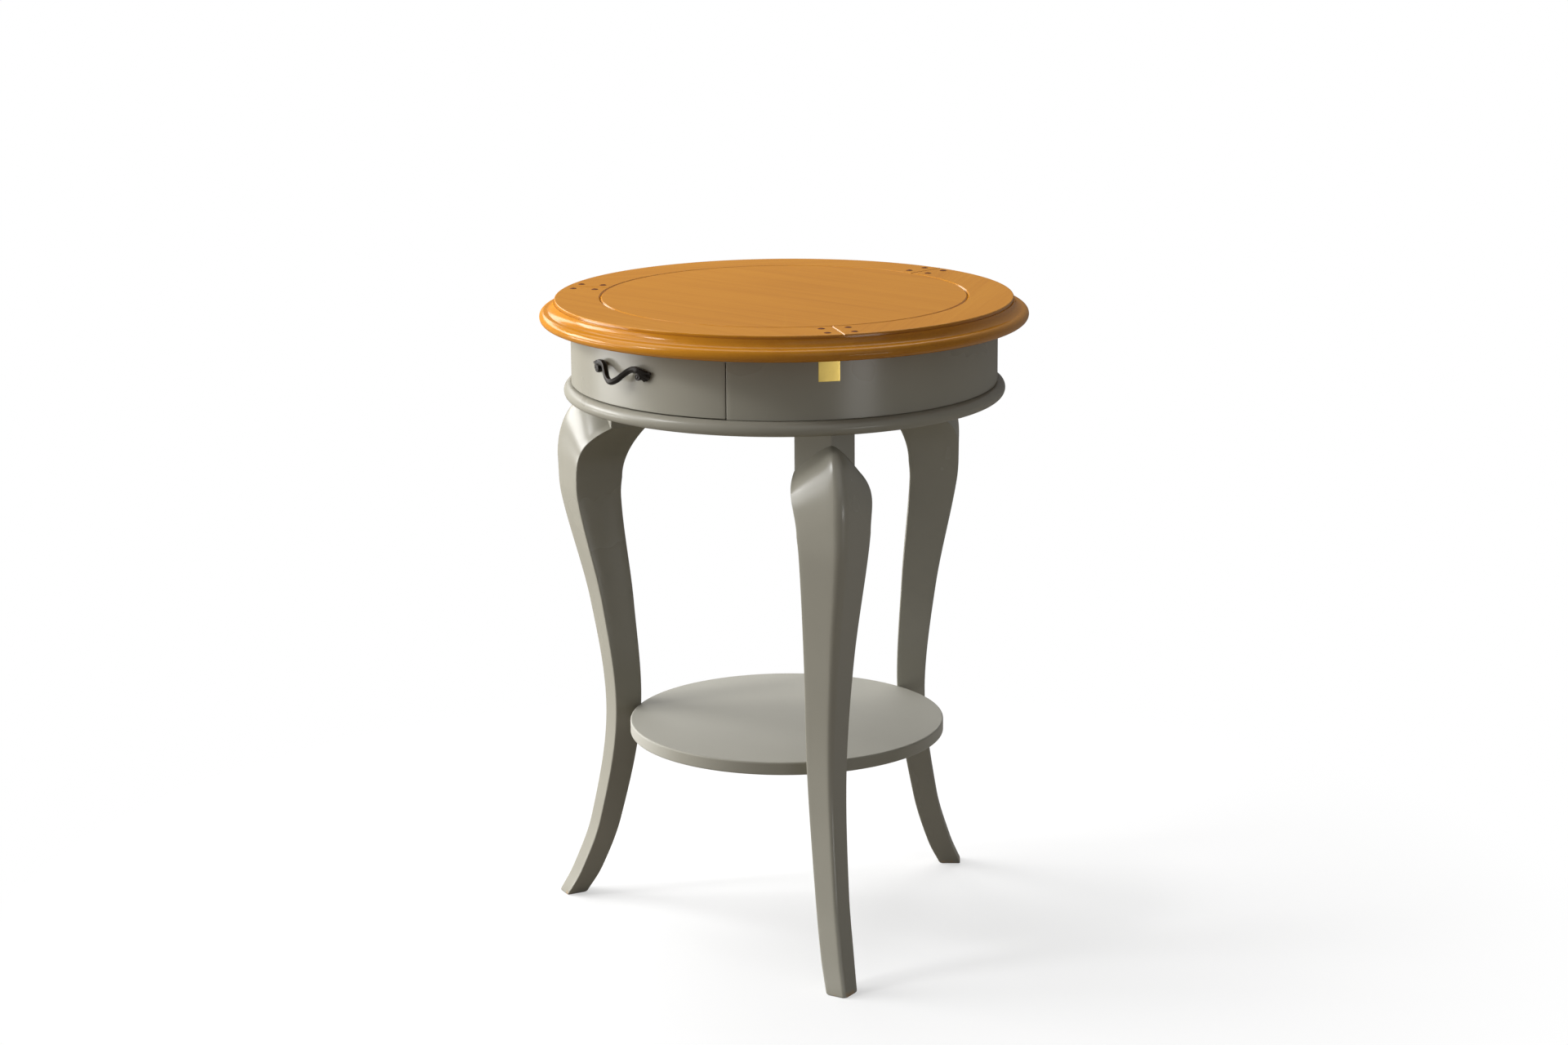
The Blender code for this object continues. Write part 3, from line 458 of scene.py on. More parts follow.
class NodeSheet:
    """A material and its nodes, laid out around one Principled shader."""

    def __init__(self, name: str) -> None:
        """Makes the material.

        Args:
            name: Its name.
        """
        self.material = bpy.data.materials.new(name)
        self.material.use_nodes = True
        self.nodes = self.material.node_tree.nodes
        self.links = self.material.node_tree.links
        self.shader = self.nodes["Principled BSDF"]

    def feed(self, socket: Socket, value: Any) -> None:
        """Links an output to a socket, or sets the socket's own value.

        Args:
            socket: The socket.
            value: The output, or the value.
        """
        if isinstance(value, bpy.types.NodeSocket):
            self.links.new(value, socket)
        else:
            socket.default_value = value

    def add(self, kind: str, inputs: dict[str, Any], **settings: Any) -> bpy.types.Node:
        """Adds a node.

        Args:
            kind: The node's type.
            inputs: Values or outputs for its named sockets.
            settings: Its own settings.

        Returns:
            The node.
        """
        node = self.nodes.new(kind)
        for name, value in settings.items():
            setattr(node, name, value)
        for name, value in inputs.items():
            self.feed(node.inputs[name], value)
        return node

    def set(self, **values: Any) -> None:
        """Feeds the shader's sockets, named with underscores for spaces."""
        for name, value in values.items():
            self.feed(self.shader.inputs[name.replace("_", " ")], value)

    def place(self, turn: float = 0.0, shift: Place = (0.0, 0.0, 0.0)) -> Socket:
        """Object coordinates, turned about Z and shifted.

        Args:
            turn: The turn, in degrees.
            shift: The shift.

        Returns:
            The coordinates.
        """
        spot = self.add("ShaderNodeTexCoord", {}).outputs["Object"]
        inputs = {"Vector": spot, "Rotation": (0.0, 0.0, radians(turn)), "Location": shift}
        return self.add("ShaderNodeMapping", inputs).outputs["Vector"]

    def stretched(self, place: Socket, scale: Place) -> Socket:
        """Coordinates with a scale for each axis."""
        return self.add("ShaderNodeMapping", {"Vector": place, "Scale": scale}).outputs["Vector"]

    def noise(self, place: Socket, scale: float, detail: float = 2.0, rough: float = 0.5) -> Socket:
        """A noise between 0 and 1."""
        inputs = {"Vector": place, "Scale": scale, "Detail": detail, "Roughness": rough}
        return self.add("ShaderNodeTexNoise", inputs).outputs["Fac"]

    def ramp(self, factor: Socket, stops: Sequence[tuple[float, Colour]]) -> Socket:
        """Colours along a factor.

        Args:
            factor: The factor.
            stops: The places of the colours, and the colours.

        Returns:
            The colour.
        """
        node = self.add("ShaderNodeValToRGB", {"Fac": factor})
        elements = node.color_ramp.elements
        while len(elements) < len(stops):
            elements.new(0.5)
        for element, (at, colour) in zip(elements, stops):
            element.position = at
            element.color = (*colour, 1.0)
        return node.outputs["Color"]

    def blend(self, factor: Any, first: Any, second: Any, mode: str = "MIX") -> Socket:
        """Mixes two colours.

        Args:
            factor: How much of the second colour is taken.
            first: The first colour.
            second: The second colour.
            mode: How the two are mixed.

        Returns:
            The mixed colour.
        """
        node = self.add("ShaderNodeMix", {}, data_type="RGBA", blend_type=mode)
        for index, value in ((0, factor), (6, first), (7, second)):
            if isinstance(value, tuple) and len(value) == 3:
                value = (*value, 1.0)
            self.feed(node.inputs[index], value)
        return node.outputs[2]

    def spread(self, value: Socket, source: Span, goal: Span) -> Socket:
        """Maps a value from one range to another, without leaving the second one.

        Args:
            value: The value.
            source: The range it comes from.
            goal: The range it is mapped to.

        Returns:
            The mapped value.
        """
        inputs = {"Value": value, "From Min": source[0], "From Max": source[1]}
        inputs |= {"To Min": goal[0], "To Max": goal[1]}
        return self.add("ShaderNodeMapRange", inputs).outputs["Result"]

    def maths(self, operation: str, first: Any, second: Any) -> Socket:
        """One sum of two values.

        Args:
            operation: What is done with them.
            first: The first value.
            second: The second value.

        Returns:
            The result.
        """
        node = self.add("ShaderNodeMath", {}, operation=operation)
        self.feed(node.inputs[0], first)
        self.feed(node.inputs[1], second)
        return node.outputs["Value"]

    def edges(self, low: float, high: float) -> Socket:
        """0 at one sharpness of the mesh, 1 at another: arrises lie above 0.5, hollows below."""
        geometry = self.add("ShaderNodeNewGeometry", {})
        return self.spread(geometry.outputs["Pointiness"], (low, high), (0.0, 1.0))

    def relief(self, height: Socket, distance: float, strength: float) -> Socket:
        """Gives the shader a fine relief.

        Args:
            height: The relief's height, from 0 to 1.
            distance: What a height of 1 stands for.
            strength: How much of the relief shows.

        Returns:
            The surface's normals.
        """
        inputs = {"Height": height, "Distance": distance, "Strength": strength}
        normal = self.add("ShaderNodeBump", inputs).outputs["Normal"]
        self.set(Normal=normal)
        return normal

    def film(
        self, normal: Socket, roughness: Socket, gloss: Span, tint: Colour = (1.0, 1.0, 1.0)
    ) -> None:
        """Lays a clear film over the shader, which shines more towards a grazing view.

        Args:
            normal: The surface's normals.
            roughness: The film's roughness.
            gloss: How much it mirrors, seen from the front and at a grazing angle.
            tint: The colour of what it mirrors.
        """
        weight = self.add("ShaderNodeLayerWeight", {"Blend": 0.5, "Normal": normal})
        share = self.spread(weight.outputs["Facing"], (0.3, 1.0), gloss)
        inputs = {"Color": (*tint, 1.0), "Roughness": roughness, "Normal": normal}
        glossy = self.add("ShaderNodeBsdfAnisotropic", inputs)
        self.set(Specular_IOR_Level=0.0)
        self.out(self.join(share, self.shader.outputs["BSDF"], glossy.outputs["BSDF"]))

    def join(self, share: Any, first: Socket, second: Socket) -> Socket:
        """Mixes two shaders.

        Args:
            share: How much of the second shader is taken.
            first: The first shader.
            second: The second shader.

        Returns:
            The mixed shader.
        """
        mix = self.add("ShaderNodeMixShader", {})
        for index, value in enumerate((share, first, second)):
            self.feed(mix.inputs[index], value)
        return mix.outputs["Shader"]

    def out(self, shader: Socket) -> None:
        """Makes a shader the material's surface."""
        self.feed(self.nodes["Material Output"].inputs["Surface"], shader)


class Grain(Enum):
    """The axis along which a board's grain runs."""

    ALONG_X = 0
    ALONG_Y = 1
    ALONG_Z = 2

    def stretch(self, along: float, across: float) -> Place:
        """A scale for each axis from the scales along and across the grain."""
        return tuple(along if axis == self.value else across for axis in range(3))


@dataclass(frozen=True)
class Wood:
    """A wood finish: growth bands, fibres and pores, with painted shade in the hollows, under
    varnish.
    """

    name: str
    light: Colour
    middle: Colour
    dark: Colour
    grain: Grain = Grain.ALONG_X
    turn: float = 0.0
    shift: Place = (0.0, 0.0, 0.0)
    roughness: float = 0.15
    gloss: Span = (0.016, 0.130)
    tint: Colour = (1.0, 0.95, 0.86)
    pores: float = 0.20
    relief: float = 0.04
    relief_depth: float = 0.0003
    fibre_scale: Span = (9.0, 430.0)
    band_scale: Span = (1.6, 85.0)
    pore_scale: Span = (70.0, 1300.0)
    cloud_scale: float = 5.0
    layer_shares: tuple[float, float, float] = (0.40, 0.35, 0.25)
    tone_stops: tuple[float, float, float] = (0.18, 0.50, 0.82)
    # The painted shade in the hollows: its colour as shares of the dark tone, and how much of it
    # shows.
    hollow_shade: Colour = (0.40, 0.24, 0.20)
    hollow_shade_share: float = 0.5
    # How much lighter the arrises are painted, as worn wood and painted highlight.
    worn_and_highlit_share: float = 0.18
    roughness_spread: float = 0.05

    def material(self) -> bpy.types.Material:
        """Builds the finish.

        Returns:
            Its material.
        """
        sheet = NodeSheet(self.name)
        place = sheet.place(-self.turn, self.shift)
        along_fibres, along_bands, along_pores = (
            sheet.stretched(place, self.grain.stretch(*scale))
            for scale in (self.fibre_scale, self.band_scale, self.pore_scale)
        )
        fibres = sheet.noise(along_fibres, 1.0, 7.0, 0.62)
        bands = sheet.noise(along_bands, 1.0, 4.0, 0.6)
        specks = sheet.noise(along_pores, 1.0, 2.0, 0.5)
        clouds = sheet.noise(place, self.cloud_scale, 2.0)
        band_part, fibre_part, cloud_part = (
            sheet.maths("MULTIPLY", layer, share)
            for layer, share in zip((bands, fibres, clouds), self.layer_shares)
        )
        tone = sheet.maths("ADD", sheet.maths("ADD", band_part, fibre_part), cloud_part)
        stops = zip(self.tone_stops, (self.dark, self.middle, self.light))
        colour = sheet.ramp(tone, list(stops))
        pore = sheet.spread(specks, (0.60, 0.72), (0.0, self.pores))
        colour = sheet.blend(pore, colour, self.dark)
        # Painted shade: hollows such as the cove are darkened towards a deep red-brown.
        hollow_shade = tuple(part * share for part, share in zip(self.dark, self.hollow_shade))
        hollows = sheet.maths("MULTIPLY", sheet.edges(0.497, 0.44), self.hollow_shade_share)
        colour = sheet.blend(hollows, colour, hollow_shade)
        # Arrises are painted lighter: partly worn wood, partly painted highlight.
        worn_and_highlit = sheet.maths("MULTIPLY", sheet.edges(0.52, 0.62), self.worn_and_highlit_share)
        sheet.set(Base_Color=sheet.blend(worn_and_highlit, colour, self.light), Roughness=UNDERCOAT)
        rough = (self.roughness - self.roughness_spread, self.roughness + self.roughness_spread)
        normal = sheet.relief(fibres, self.relief_depth, self.relief)
        sheet.film(normal, sheet.spread(fibres, (0.3, 0.7), rough), self.gloss, self.tint)
        return sheet.material


@dataclass(frozen=True)
class Lacquer:
    """A sprayed satin lacquer: slight clouding, orange peel, arrises painted lighter as rubbed wear
    and painted highlight, and worn feet.
    """

    name: str
    colour: Colour
    bare: Colour = (0.42, 0.27, 0.14)
    roughness: float = 0.28
    gloss: Span = (0.026, 0.085)
    worn_height: float = 0.0
    cloud_scale: float = 9.0
    clouding: float = 0.03
    peel_scale: float = 260.0
    peel_depth: float = 0.0002
    peel: float = 0.03
    dust_scale: float = 60.0
    # How much lighter the arrises are painted, as rubbed wear and painted highlight.
    rubbed_and_highlit_gain: float = 1.35
    roughness_spread: float = 0.02

    def material(self) -> bpy.types.Material:
        """Builds the finish.

        Returns:
            Its material.
        """
        sheet = NodeSheet(self.name)
        place = sheet.place()
        clouds = sheet.noise(place, self.cloud_scale, 3.0)
        peel = sheet.noise(place, self.peel_scale, 2.0)
        dust = sheet.noise(place, self.dust_scale, 4.0, 0.6)
        pale = tuple(min(1.0, part * (1 + self.clouding)) for part in self.colour)
        deep = tuple(part * (1 - self.clouding) for part in self.colour)
        colour = sheet.ramp(clouds, [(0.32, deep), (0.50, self.colour), (0.68, pale)])
        uneven = sheet.spread(dust, (0.35, 0.6), (0.1, 0.4))
        # Arrises are painted lighter, unevenly: partly rubbed wear, partly painted highlight.
        rubbed_and_highlit = sheet.maths("MULTIPLY", sheet.edges(0.53, 0.66), uneven)
        bright = tuple(min(1.0, part * self.rubbed_and_highlit_gain) for part in self.colour)
        colour = sheet.blend(rubbed_and_highlit, colour, bright)
        if self.worn_height > 0.0:
            split = sheet.add("ShaderNodeSeparateXYZ", {"Vector": place})
            near = sheet.spread(split.outputs["Z"], (0.0, self.worn_height), (1.0, 0.0))
            chips = sheet.maths("MULTIPLY", near, sheet.spread(dust, (0.52, 0.58), (0.0, 1.0)))
            colour = sheet.blend(chips, colour, self.bare)
        sheet.set(Base_Color=colour, Roughness=UNDERCOAT)
        rough = (self.roughness - self.roughness_spread, self.roughness + self.roughness_spread)
        normal = sheet.relief(peel, self.peel_depth, self.peel)
        sheet.film(normal, sheet.spread(clouds, (0.3, 0.7), rough), self.gloss)
        return sheet.material


@dataclass(frozen=True)
class Metal:
    """A metal finish: its patina lies in random patches, and its arrises are painted lighter,
    partly as rubbed wear and partly as painted highlight.
    """

    name: str
    colour: Colour
    rubbed_and_highlit: Colour
    roughness: float
    metallic: float = 1.0
    specular: float = 0.5
    patina: float = 0.75
    brush: Place = (300.0, 300.0, 300.0)
    relief: float = 0.05
    relief_depth: float = 0.0002
    patch_scale: float = 120.0
    roughness_spread: float = 0.08

    def material(self) -> bpy.types.Material:
        """Builds the finish.

        Returns:
            Its material.
        """
        sheet = NodeSheet(self.name)
        place = sheet.place()
        marks = sheet.noise(sheet.stretched(place, self.brush), 1.0, 4.0, 0.6)
        patches = sheet.noise(place, self.patch_scale, 3.0)
        deep = tuple(part * self.patina for part in self.colour)
        colour = sheet.ramp(patches, [(0.35, deep), (0.60, self.colour)])
        uneven = sheet.spread(marks, (0.3, 0.6), (0.4, 1.0))
        # Arrises take the lighter colour: partly rubbed wear, partly painted highlight.
        worn_and_highlit = sheet.maths("MULTIPLY", sheet.edges(0.51, 0.62), uneven)
        colour = sheet.blend(worn_and_highlit, colour, self.rubbed_and_highlit)
        sheet.set(Base_Color=colour, Metallic=self.metallic, Specular_IOR_Level=self.specular)
        rough = (self.roughness - self.roughness_spread, self.roughness + self.roughness_spread)
        sheet.set(Roughness=sheet.spread(marks, (0.3, 0.7), rough))
        sheet.relief(marks, self.relief_depth, self.relief)
        return sheet.material


GREY: Colour = (0.290, 0.278, 0.232)
HONEY_LIGHT: Colour = (0.55, 0.238, 0.017)
HONEY: Colour = (0.49, 0.194, 0.010)
HONEY_DARK: Colour = (0.39, 0.138, 0.005)
PANEL_WOOD = Wood("honey_wood", HONEY_LIGHT, HONEY, HONEY_DARK, turn=8.0, shift=(0.31, 0.12, 0.0))
PEG_WOOD = Wood(
    "peg_wood", (0.150, 0.044, 0.014), (0.110, 0.030, 0.010), (0.065, 0.017, 0.006), Grain.ALONG_Z,
    roughness=0.30, gloss=(0.008, 0.035),
)
PLAIN_WOOD = Wood(
    "plain_wood", (0.66, 0.49, 0.30), (0.58, 0.41, 0.23), (0.46, 0.30, 0.15), Grain.ALONG_Y,
    roughness=0.62, gloss=(0.02, 0.05), relief=0.15,
)
CROSS_WOOD = replace(PLAIN_WOOD, name="cross_wood", grain=Grain.ALONG_X)
PLYWOOD = Wood(
    "plywood", (0.70, 0.55, 0.36), (0.63, 0.47, 0.29), (0.52, 0.36, 0.20), Grain.ALONG_X,
    roughness=0.66, gloss=(0.02, 0.05), relief=0.12,
)
BEECH = Wood(
    "beech_pin", (0.68, 0.49, 0.30), (0.61, 0.42, 0.24), (0.50, 0.32, 0.17), Grain.ALONG_Z,
    roughness=0.6, gloss=(0.02, 0.05),
)
CARCASS_LACQUER = Lacquer("grey_lacquer", GREY)
LEG_LACQUER = Lacquer("leg_lacquer", GREY, roughness=0.26, gloss=(0.036, 0.090), worn_height=0.006)
SHELF_LACQUER = Lacquer("shelf_lacquer", GREY, roughness=0.62, gloss=(0.026, 0.200))
# A metal's second colour is painted on its arrises, as rubbed wear and painted highlight.
BLACK_IRON = Metal(
    "black_iron", (0.010, 0.0072, 0.0046), (0.062, 0.044, 0.028),
    roughness=0.34, metallic=0.3, specular=0.22, relief=0.10,
)
ZINC = Metal("zinc_steel", (0.50, 0.50, 0.49), (0.70, 0.70, 0.69), 0.36)
BRASS = Metal(
    "brass", (0.60, 0.44, 0.125), (0.70, 0.54, 0.20),
    roughness=0.36, patina=0.93, brush=(40.0, 40.0, 2600.0),
)


@dataclass(frozen=True)
class TableSizes:
    """Sizes that several sub-assemblies share."""

    height: float = 0.667
    top_thickness: float = 0.024
    apron_radius: float = 0.2185
    apron_height: float = 0.0624
    apron_thickness: float = 0.015
    base_thickness: float = 0.015
    shelf_height: float = 0.2185
    shelf_thickness: float = 0.0135
    opening_half_angle: float = 32.5
    seat: float = 0.0003

    @property
    def leg_angles(self) -> dict[str, float]:
        """The legs' names, and where they stand."""
        return {"right": 60.0, "left": -60.0, "back": 180.0}

    @property
    def top_underside(self) -> float:
        """The height of the top's underside."""
        return self.height - self.top_thickness

    @property
    def apron_top(self) -> float:
        """The height of the apron's upper edge."""
        return self.top_underside - self.seat

    @property
    def apron_bottom(self) -> float:
        """The height of the apron's lower edge."""
        return self.apron_top - self.apron_height

    @property
    def base_top(self) -> float:
        """The height of the base board's upper face."""
        return self.apron_bottom - self.seat

    @property
    def base_bottom(self) -> float:
        """The height of the base board's underside."""
        return self.base_top - self.base_thickness


@dataclass
class SubAssembly:
    """A group of pieces that is built and dressed together."""

    sizes: TableSizes

    def hand_over(
        self, piece: Piece, finish: bpy.types.Material, slot: str, body: str, *nodes: str
    ) -> None:
        """Dresses a finished piece, lets it ride on its body and reports it.

        Args:
            piece: The piece.
            finish: Its material.
            slot: A material slot's name, which is not used.
            body: The body it moves with.
            nodes: The CAD nodes that it stands for.
        """
        piece.data.materials.clear()
        piece.data.materials.append(finish)
        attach(piece, body)
        if nodes:
            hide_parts(*nodes)
        LOG.info("%s: %d faces, rides on %s", piece.name, len(piece.data.polygons), body)


@dataclass
class Top(SubAssembly):
    """The panel, the moulded rim round it, and the pegs at the rim's seams."""

    overhang: float = 0.0315
    turn: float = 1.7
    rim_width: float = 0.0624
    nose_radius: float = 0.006
    edge_drop: float = 0.0035
    edge_ledge: float = 0.0010
    edge_round: float = 0.0012
    groove_width: float = 0.0013
    groove_depth: float = 0.0013
    groove_ease: float = 0.0005
    seam_bevel: float = 0.0010
    joint_gap: float = 0.00004
    tongue: float = 0.005
    tongue_low: float = 0.654
    tongue_high: float = 0.660
    tongue_ease: float = 0.0004
    peg_diameter: float = 0.0072
    peg_clearance: float = 0.00012
    peg_dome: float = 0.0008
    peg_low: float = 0.648
    peg_spread: float = 0.0135
    peg_rows: Span = (0.1994, 0.2229)
    mortise_half_length: float = 0.0243
    mortise_heights: Span = (0.6459, 0.6515)
    mortise_radii: Span = (0.1933, 0.2290)
    cut_past: float = 0.002
    grain_step: Place = (0.7, 0.45, 0.2)
    panel_steps: int = 240
    rim_steps: int = 96
    cove_steps: int = 12
    nose_steps: int = 22
    dome_steps: int = 8
    peg_steps: int = 32
    hole_sides: int = 40
    peg_smooth: float = 50.0

    @property
    def radius(self) -> float:
        """The top's outer radius."""
        return self.sizes.apron_radius + self.overhang

    @property
    def panel_radius(self) -> float:
        """The radius of the joint between panel and rim."""
        return self.radius - self.rim_width

    def build(self) -> None:
        """Builds and dresses the panel, the rim's segments and the pegs."""
        self.build_panel()
        self.build_rim()
        self.build_pegs()

    def build_panel(self) -> None:
        """The flat panel with its chamfered edge and its tongue."""
        edge = self.panel_radius - self.sizes.seat / 2
        high = self.sizes.height
        corners = [Corner(0.0, high), Corner(edge - self.groove_width, high, self.groove_ease)]
        corners += [Corner(edge, high - self.groove_depth), Corner(edge, self.tongue_high)]
        corners += [Corner(edge + self.tongue, self.tongue_high, self.tongue_ease)]
        corners += [Corner(edge + self.tongue, self.tongue_low, self.tongue_ease)]
        corners += [Corner(edge, self.tongue_low), Corner(edge, self.sizes.top_underside)]
        corners += [Corner(0.0, self.sizes.top_underside)]
        panel = Bench.turn("panel_board", Outline(corners).line(), self.panel_steps)
        Bench.smooth(panel)
        self.hand_over(panel, PANEL_WOOD.material(), "honey_wood", CARCASS, "top_panel")

    def rim_line(self) -> Line:
        """The rim's outline: grooved inside, with quirk, cove and nose outside.

        Returns:
            The closed outline.
        """
        sizes = self.sizes
        inner = self.panel_radius + sizes.seat / 2
        groove = inner + self.tongue + sizes.seat
        ledge = sizes.height - self.edge_drop
        cove = sizes.top_thickness - self.edge_drop - 2 * self.nose_radius
        flat = self.radius - self.nose_radius - cove - self.edge_ledge
        nose_centre = (self.radius - self.nose_radius, sizes.top_underside + self.nose_radius)
        corners = [Corner(inner, sizes.height - self.groove_depth)]
        corners += [Corner(inner + self.groove_width, sizes.height, self.groove_ease)]
        corners += [Corner(flat, sizes.height, self.edge_round), Corner(flat, ledge)]
        cove_centre = (flat + self.edge_ledge + cove, ledge)
        moulding = arc(cove_centre, cove, 180, 270, self.cove_steps)
        moulding += arc(nose_centre, self.nose_radius, 90, -90, self.nose_steps)[1:]
        corners += [Corner(*point) for point in moulding]
        corners += [Corner(inner, sizes.top_underside), Corner(inner, self.tongue_low - sizes.seat)]
        corners += [Corner(groove, self.tongue_low - sizes.seat)]
        corners += [Corner(groove, self.tongue_high + sizes.seat)]
        corners += [Corner(inner, self.tongue_high + sizes.seat)]
        return Outline(corners, closed=True).line()

    def seam_cutters(self, angle: float) -> list[Piece]:
        """What is cut round one seam: its fine V, the mortise and the peg holes.

        Args:
            angle: Where the seam lies.

        Returns:
            The cutters.
        """
        side = 3 * self.seam_bevel
        Bench.clear()
        bpy.ops.mesh.primitive_cube_add(size=1.0)
        vee = Bench.named("cutter")
        vee.data.transform(Matrix.Diagonal((side, self.rim_width + 2 * self.cut_past, side, 1.0)))
        vee.data.transform(Matrix.Rotation(pi / 4, 4, "Y"))
        lift = self.sizes.height - self.seam_bevel + side / sqrt(2)
        middle = (self.radius + self.panel_radius) / 2
        vee.data.transform(Matrix.Translation((0.0, -middle, lift)))
        vee.data.transform(Matrix.Rotation(radians(angle), 4, "Z"))
        low = (-self.mortise_half_length, -self.mortise_radii[1], self.mortise_heights[0])
        high = (self.mortise_half_length, -self.mortise_radii[0], self.mortise_heights[1])
        cutters = [vee, Bench.block(low, high, angle)]
        for place in self.peg_places():
            cutters.append(self.peg_hole(place, angle))
        return cutters

    def peg_places(self) -> list[tuple[float, float]]:
        """The pegs' places round a seam that lies along -Y."""
        return [(side * self.peg_spread, -row) for row in self.peg_rows for side in (-1, 1)]

    def peg_hole(self, place: tuple[float, float], angle: float) -> Piece:
        """A cutter for one peg's hole.

        Args:
            place: The peg's place beside a seam along -Y.
            angle: Where the seam lies.

        Returns:
            The cutter.
        """
        Bench.clear()
        deep = self.sizes.height + self.cut_past - self.peg_low
        radius = self.peg_diameter / 2 + self.peg_clearance
        bpy.ops.mesh.primitive_cylinder_add(vertices=self.hole_sides, radius=radius, depth=deep)
        hole = Bench.named("cutter")
        hole.data.transform(Matrix.Translation((*place, self.peg_low + deep / 2)))
        hole.data.transform(Matrix.Rotation(radians(angle), 4, "Z"))
        return hole

    def build_rim(self) -> None:
        """One segment with its two half seams, and its two copies."""
        names = list(self.sizes.leg_angles)
        sweep = FULL_TURN / len(names)
        joint = degrees(self.joint_gap / 2 / self.panel_radius)
        start = self.sizes.leg_angles["left"] + self.turn
        first = Bench.turn(
            "moulded_rim_left", self.rim_line(), self.rim_steps, start + joint, sweep - 2 * joint
        )
        for angle in (start, start + sweep):
            Bench.carve(first, *self.seam_cutters(angle))
        Bench.smooth(Bench.closed(first))
        segments = {"left": first}
        for name in ("right", "back"):
            turn = self.sizes.leg_angles[name] - self.sizes.leg_angles["left"]
            segments[name] = Bench.copy(first, f"moulded_rim_{name}", turn)
        for number, (name, segment) in enumerate(segments.items()):
            middle = self.sizes.leg_angles[name] + self.turn + sweep / 2
            shift = tuple(step * number for step in self.grain_step)
            wood = replace(PANEL_WOOD, name=f"rim_wood_{name}", turn=middle, shift=shift)
            self.hand_over(segment, wood.material(), "rim_wood", CARCASS, f"rim_segment_{name}")

    def build_pegs(self) -> None:
        """One domed peg, and a copy of it for each hole."""
        radius = self.peg_diameter / 2
        high = self.sizes.height
        ball = (radius**2 + self.peg_dome**2) / (2 * self.peg_dome)
        rise = degrees(acos(1 - self.peg_dome / ball))
        dome = arc((0.0, high + self.peg_dome - ball), ball, 90, 90 - rise, self.dome_steps)
        corners = [Corner(*point) for point in dome]
        corners += [Corner(radius, self.peg_low), Corner(0.0, self.peg_low)]
        master = Bench.turn("peg", Outline(corners).line(), self.peg_steps)
        Bench.smooth(master, self.peg_smooth)
        finish = PEG_WOOD.material()
        for name, leg_angle in self.sizes.leg_angles.items():
            for number, (x, y) in enumerate(self.peg_places(), start=1):
                peg = Bench.copy(master, f"peg_{name}_{number}", leg_angle + self.turn, (x, y, 0.0))
                self.hand_over(peg, finish, "peg_wood", CARCASS, f"rim_peg_{name}_{number}")
        bpy.data.objects.remove(master)


@dataclass
class Carcass(SubAssembly):
    """The bent apron, the base board under it, and the bare plate on the apron."""

    base_overhang: float = 0.008
    ease: float = 0.0006
    edge_hold: float = 0.002
    apron_steps: int = 200
    base_steps: int = 240
    edge_steps: int = 24
    bolt_bore: float = 0.0086
    bore_depth: float = 0.03
    bore_sides: int = 40
    post_centre: float = 0.1794
    plate_angles: Span = (56.1, 61.7)
    plate_heights: Span = (0.6185, 0.6404)
    plate_thickness: float = 0.0005
    plate_gap: float = 0.00003
    plate_ease: float = 0.0002
    plate_hold: float = 0.0006
    plate_steps: int = 16

    def build(self) -> None:
        """Builds and dresses the apron, the base board and the plate."""
        lacquer = CARCASS_LACQUER.material()
        self.build_apron(lacquer)
        self.build_base(lacquer)
        self.build_plate()

    def build_apron(self, lacquer: bpy.types.Material) -> None:
        """The apron, open in front for the drawer.

        Args:
            lacquer: Its material.
        """
        sizes = self.sizes
        inner = sizes.apron_radius - sizes.apron_thickness
        corners = [Corner(sizes.apron_radius, sizes.apron_top, self.ease)]
        corners += [Corner(sizes.apron_radius, sizes.apron_bottom, self.ease)]
        corners += [Corner(inner, sizes.apron_bottom, self.ease)]
        corners += [Corner(inner, sizes.apron_top, self.ease)]
        start = sizes.opening_half_angle
        sweep = FULL_TURN - 2 * start
        line = Outline(corners, closed=True).line()
        apron = Bench.turn("bent_apron", line, self.apron_steps, start, sweep)
        for angle in (start, start + sweep):
            Bench.ease_end(apron, angle, self.ease)
        Bench.smooth(apron)
        self.hand_over(apron, lacquer, "apron_lacquer", CARCASS, "apron")

    def build_base(self, lacquer: bpy.types.Material) -> None:
        """The round base board with its half-round edge.

        Args:
            lacquer: Its material.
        """
        sizes = self.sizes
        half = sizes.base_thickness / 2
        edge = (sizes.apron_radius + self.base_overhang - half, sizes.base_bottom + half)
        hold = edge[0] - self.edge_hold
        line = [(0.0, sizes.base_top), (hold, sizes.base_top)]
        line += arc(edge, half, 90, -90, self.edge_steps)
        line += [(hold, sizes.base_bottom), (0.0, sizes.base_bottom)]
        base = Bench.turn("rounded_base", line, self.base_steps)
        for angle in sizes.leg_angles.values():
            Bench.clear()
            spot = polar(self.post_centre, angle, sizes.base_bottom + half)
            bpy.ops.mesh.primitive_cylinder_add(
                vertices=self.bore_sides,
                radius=self.bolt_bore / 2,
                depth=self.bore_depth,
                location=spot,
            )
            Bench.carve(base, Bench.named("cutter"))
        Bench.smooth(Bench.closed(base))
        self.hand_over(base, lacquer, "base_lacquer", CARCASS, "base_board")

    def build_plate(self) -> None:
        """The bare brass plate, bent to the apron."""
        inner = self.sizes.apron_radius + self.plate_gap
        outer = inner + self.plate_thickness
        low, high = self.plate_heights
        corners = [Corner(outer, high, self.plate_ease), Corner(outer, low, self.plate_ease)]
        corners += [Corner(inner, low), Corner(inner, high)]
        start, end = self.plate_angles
        line = Outline(corners, closed=True, hold=self.plate_hold).line()
        plate = Bench.turn("brass_plate", line, self.plate_steps, start, end - start)
        for angle in (start, end):
            Bench.ease_end(plate, angle, self.plate_ease)
        Bench.smooth(plate)
        self.hand_over(plate, BRASS.material(), "", CARCASS)


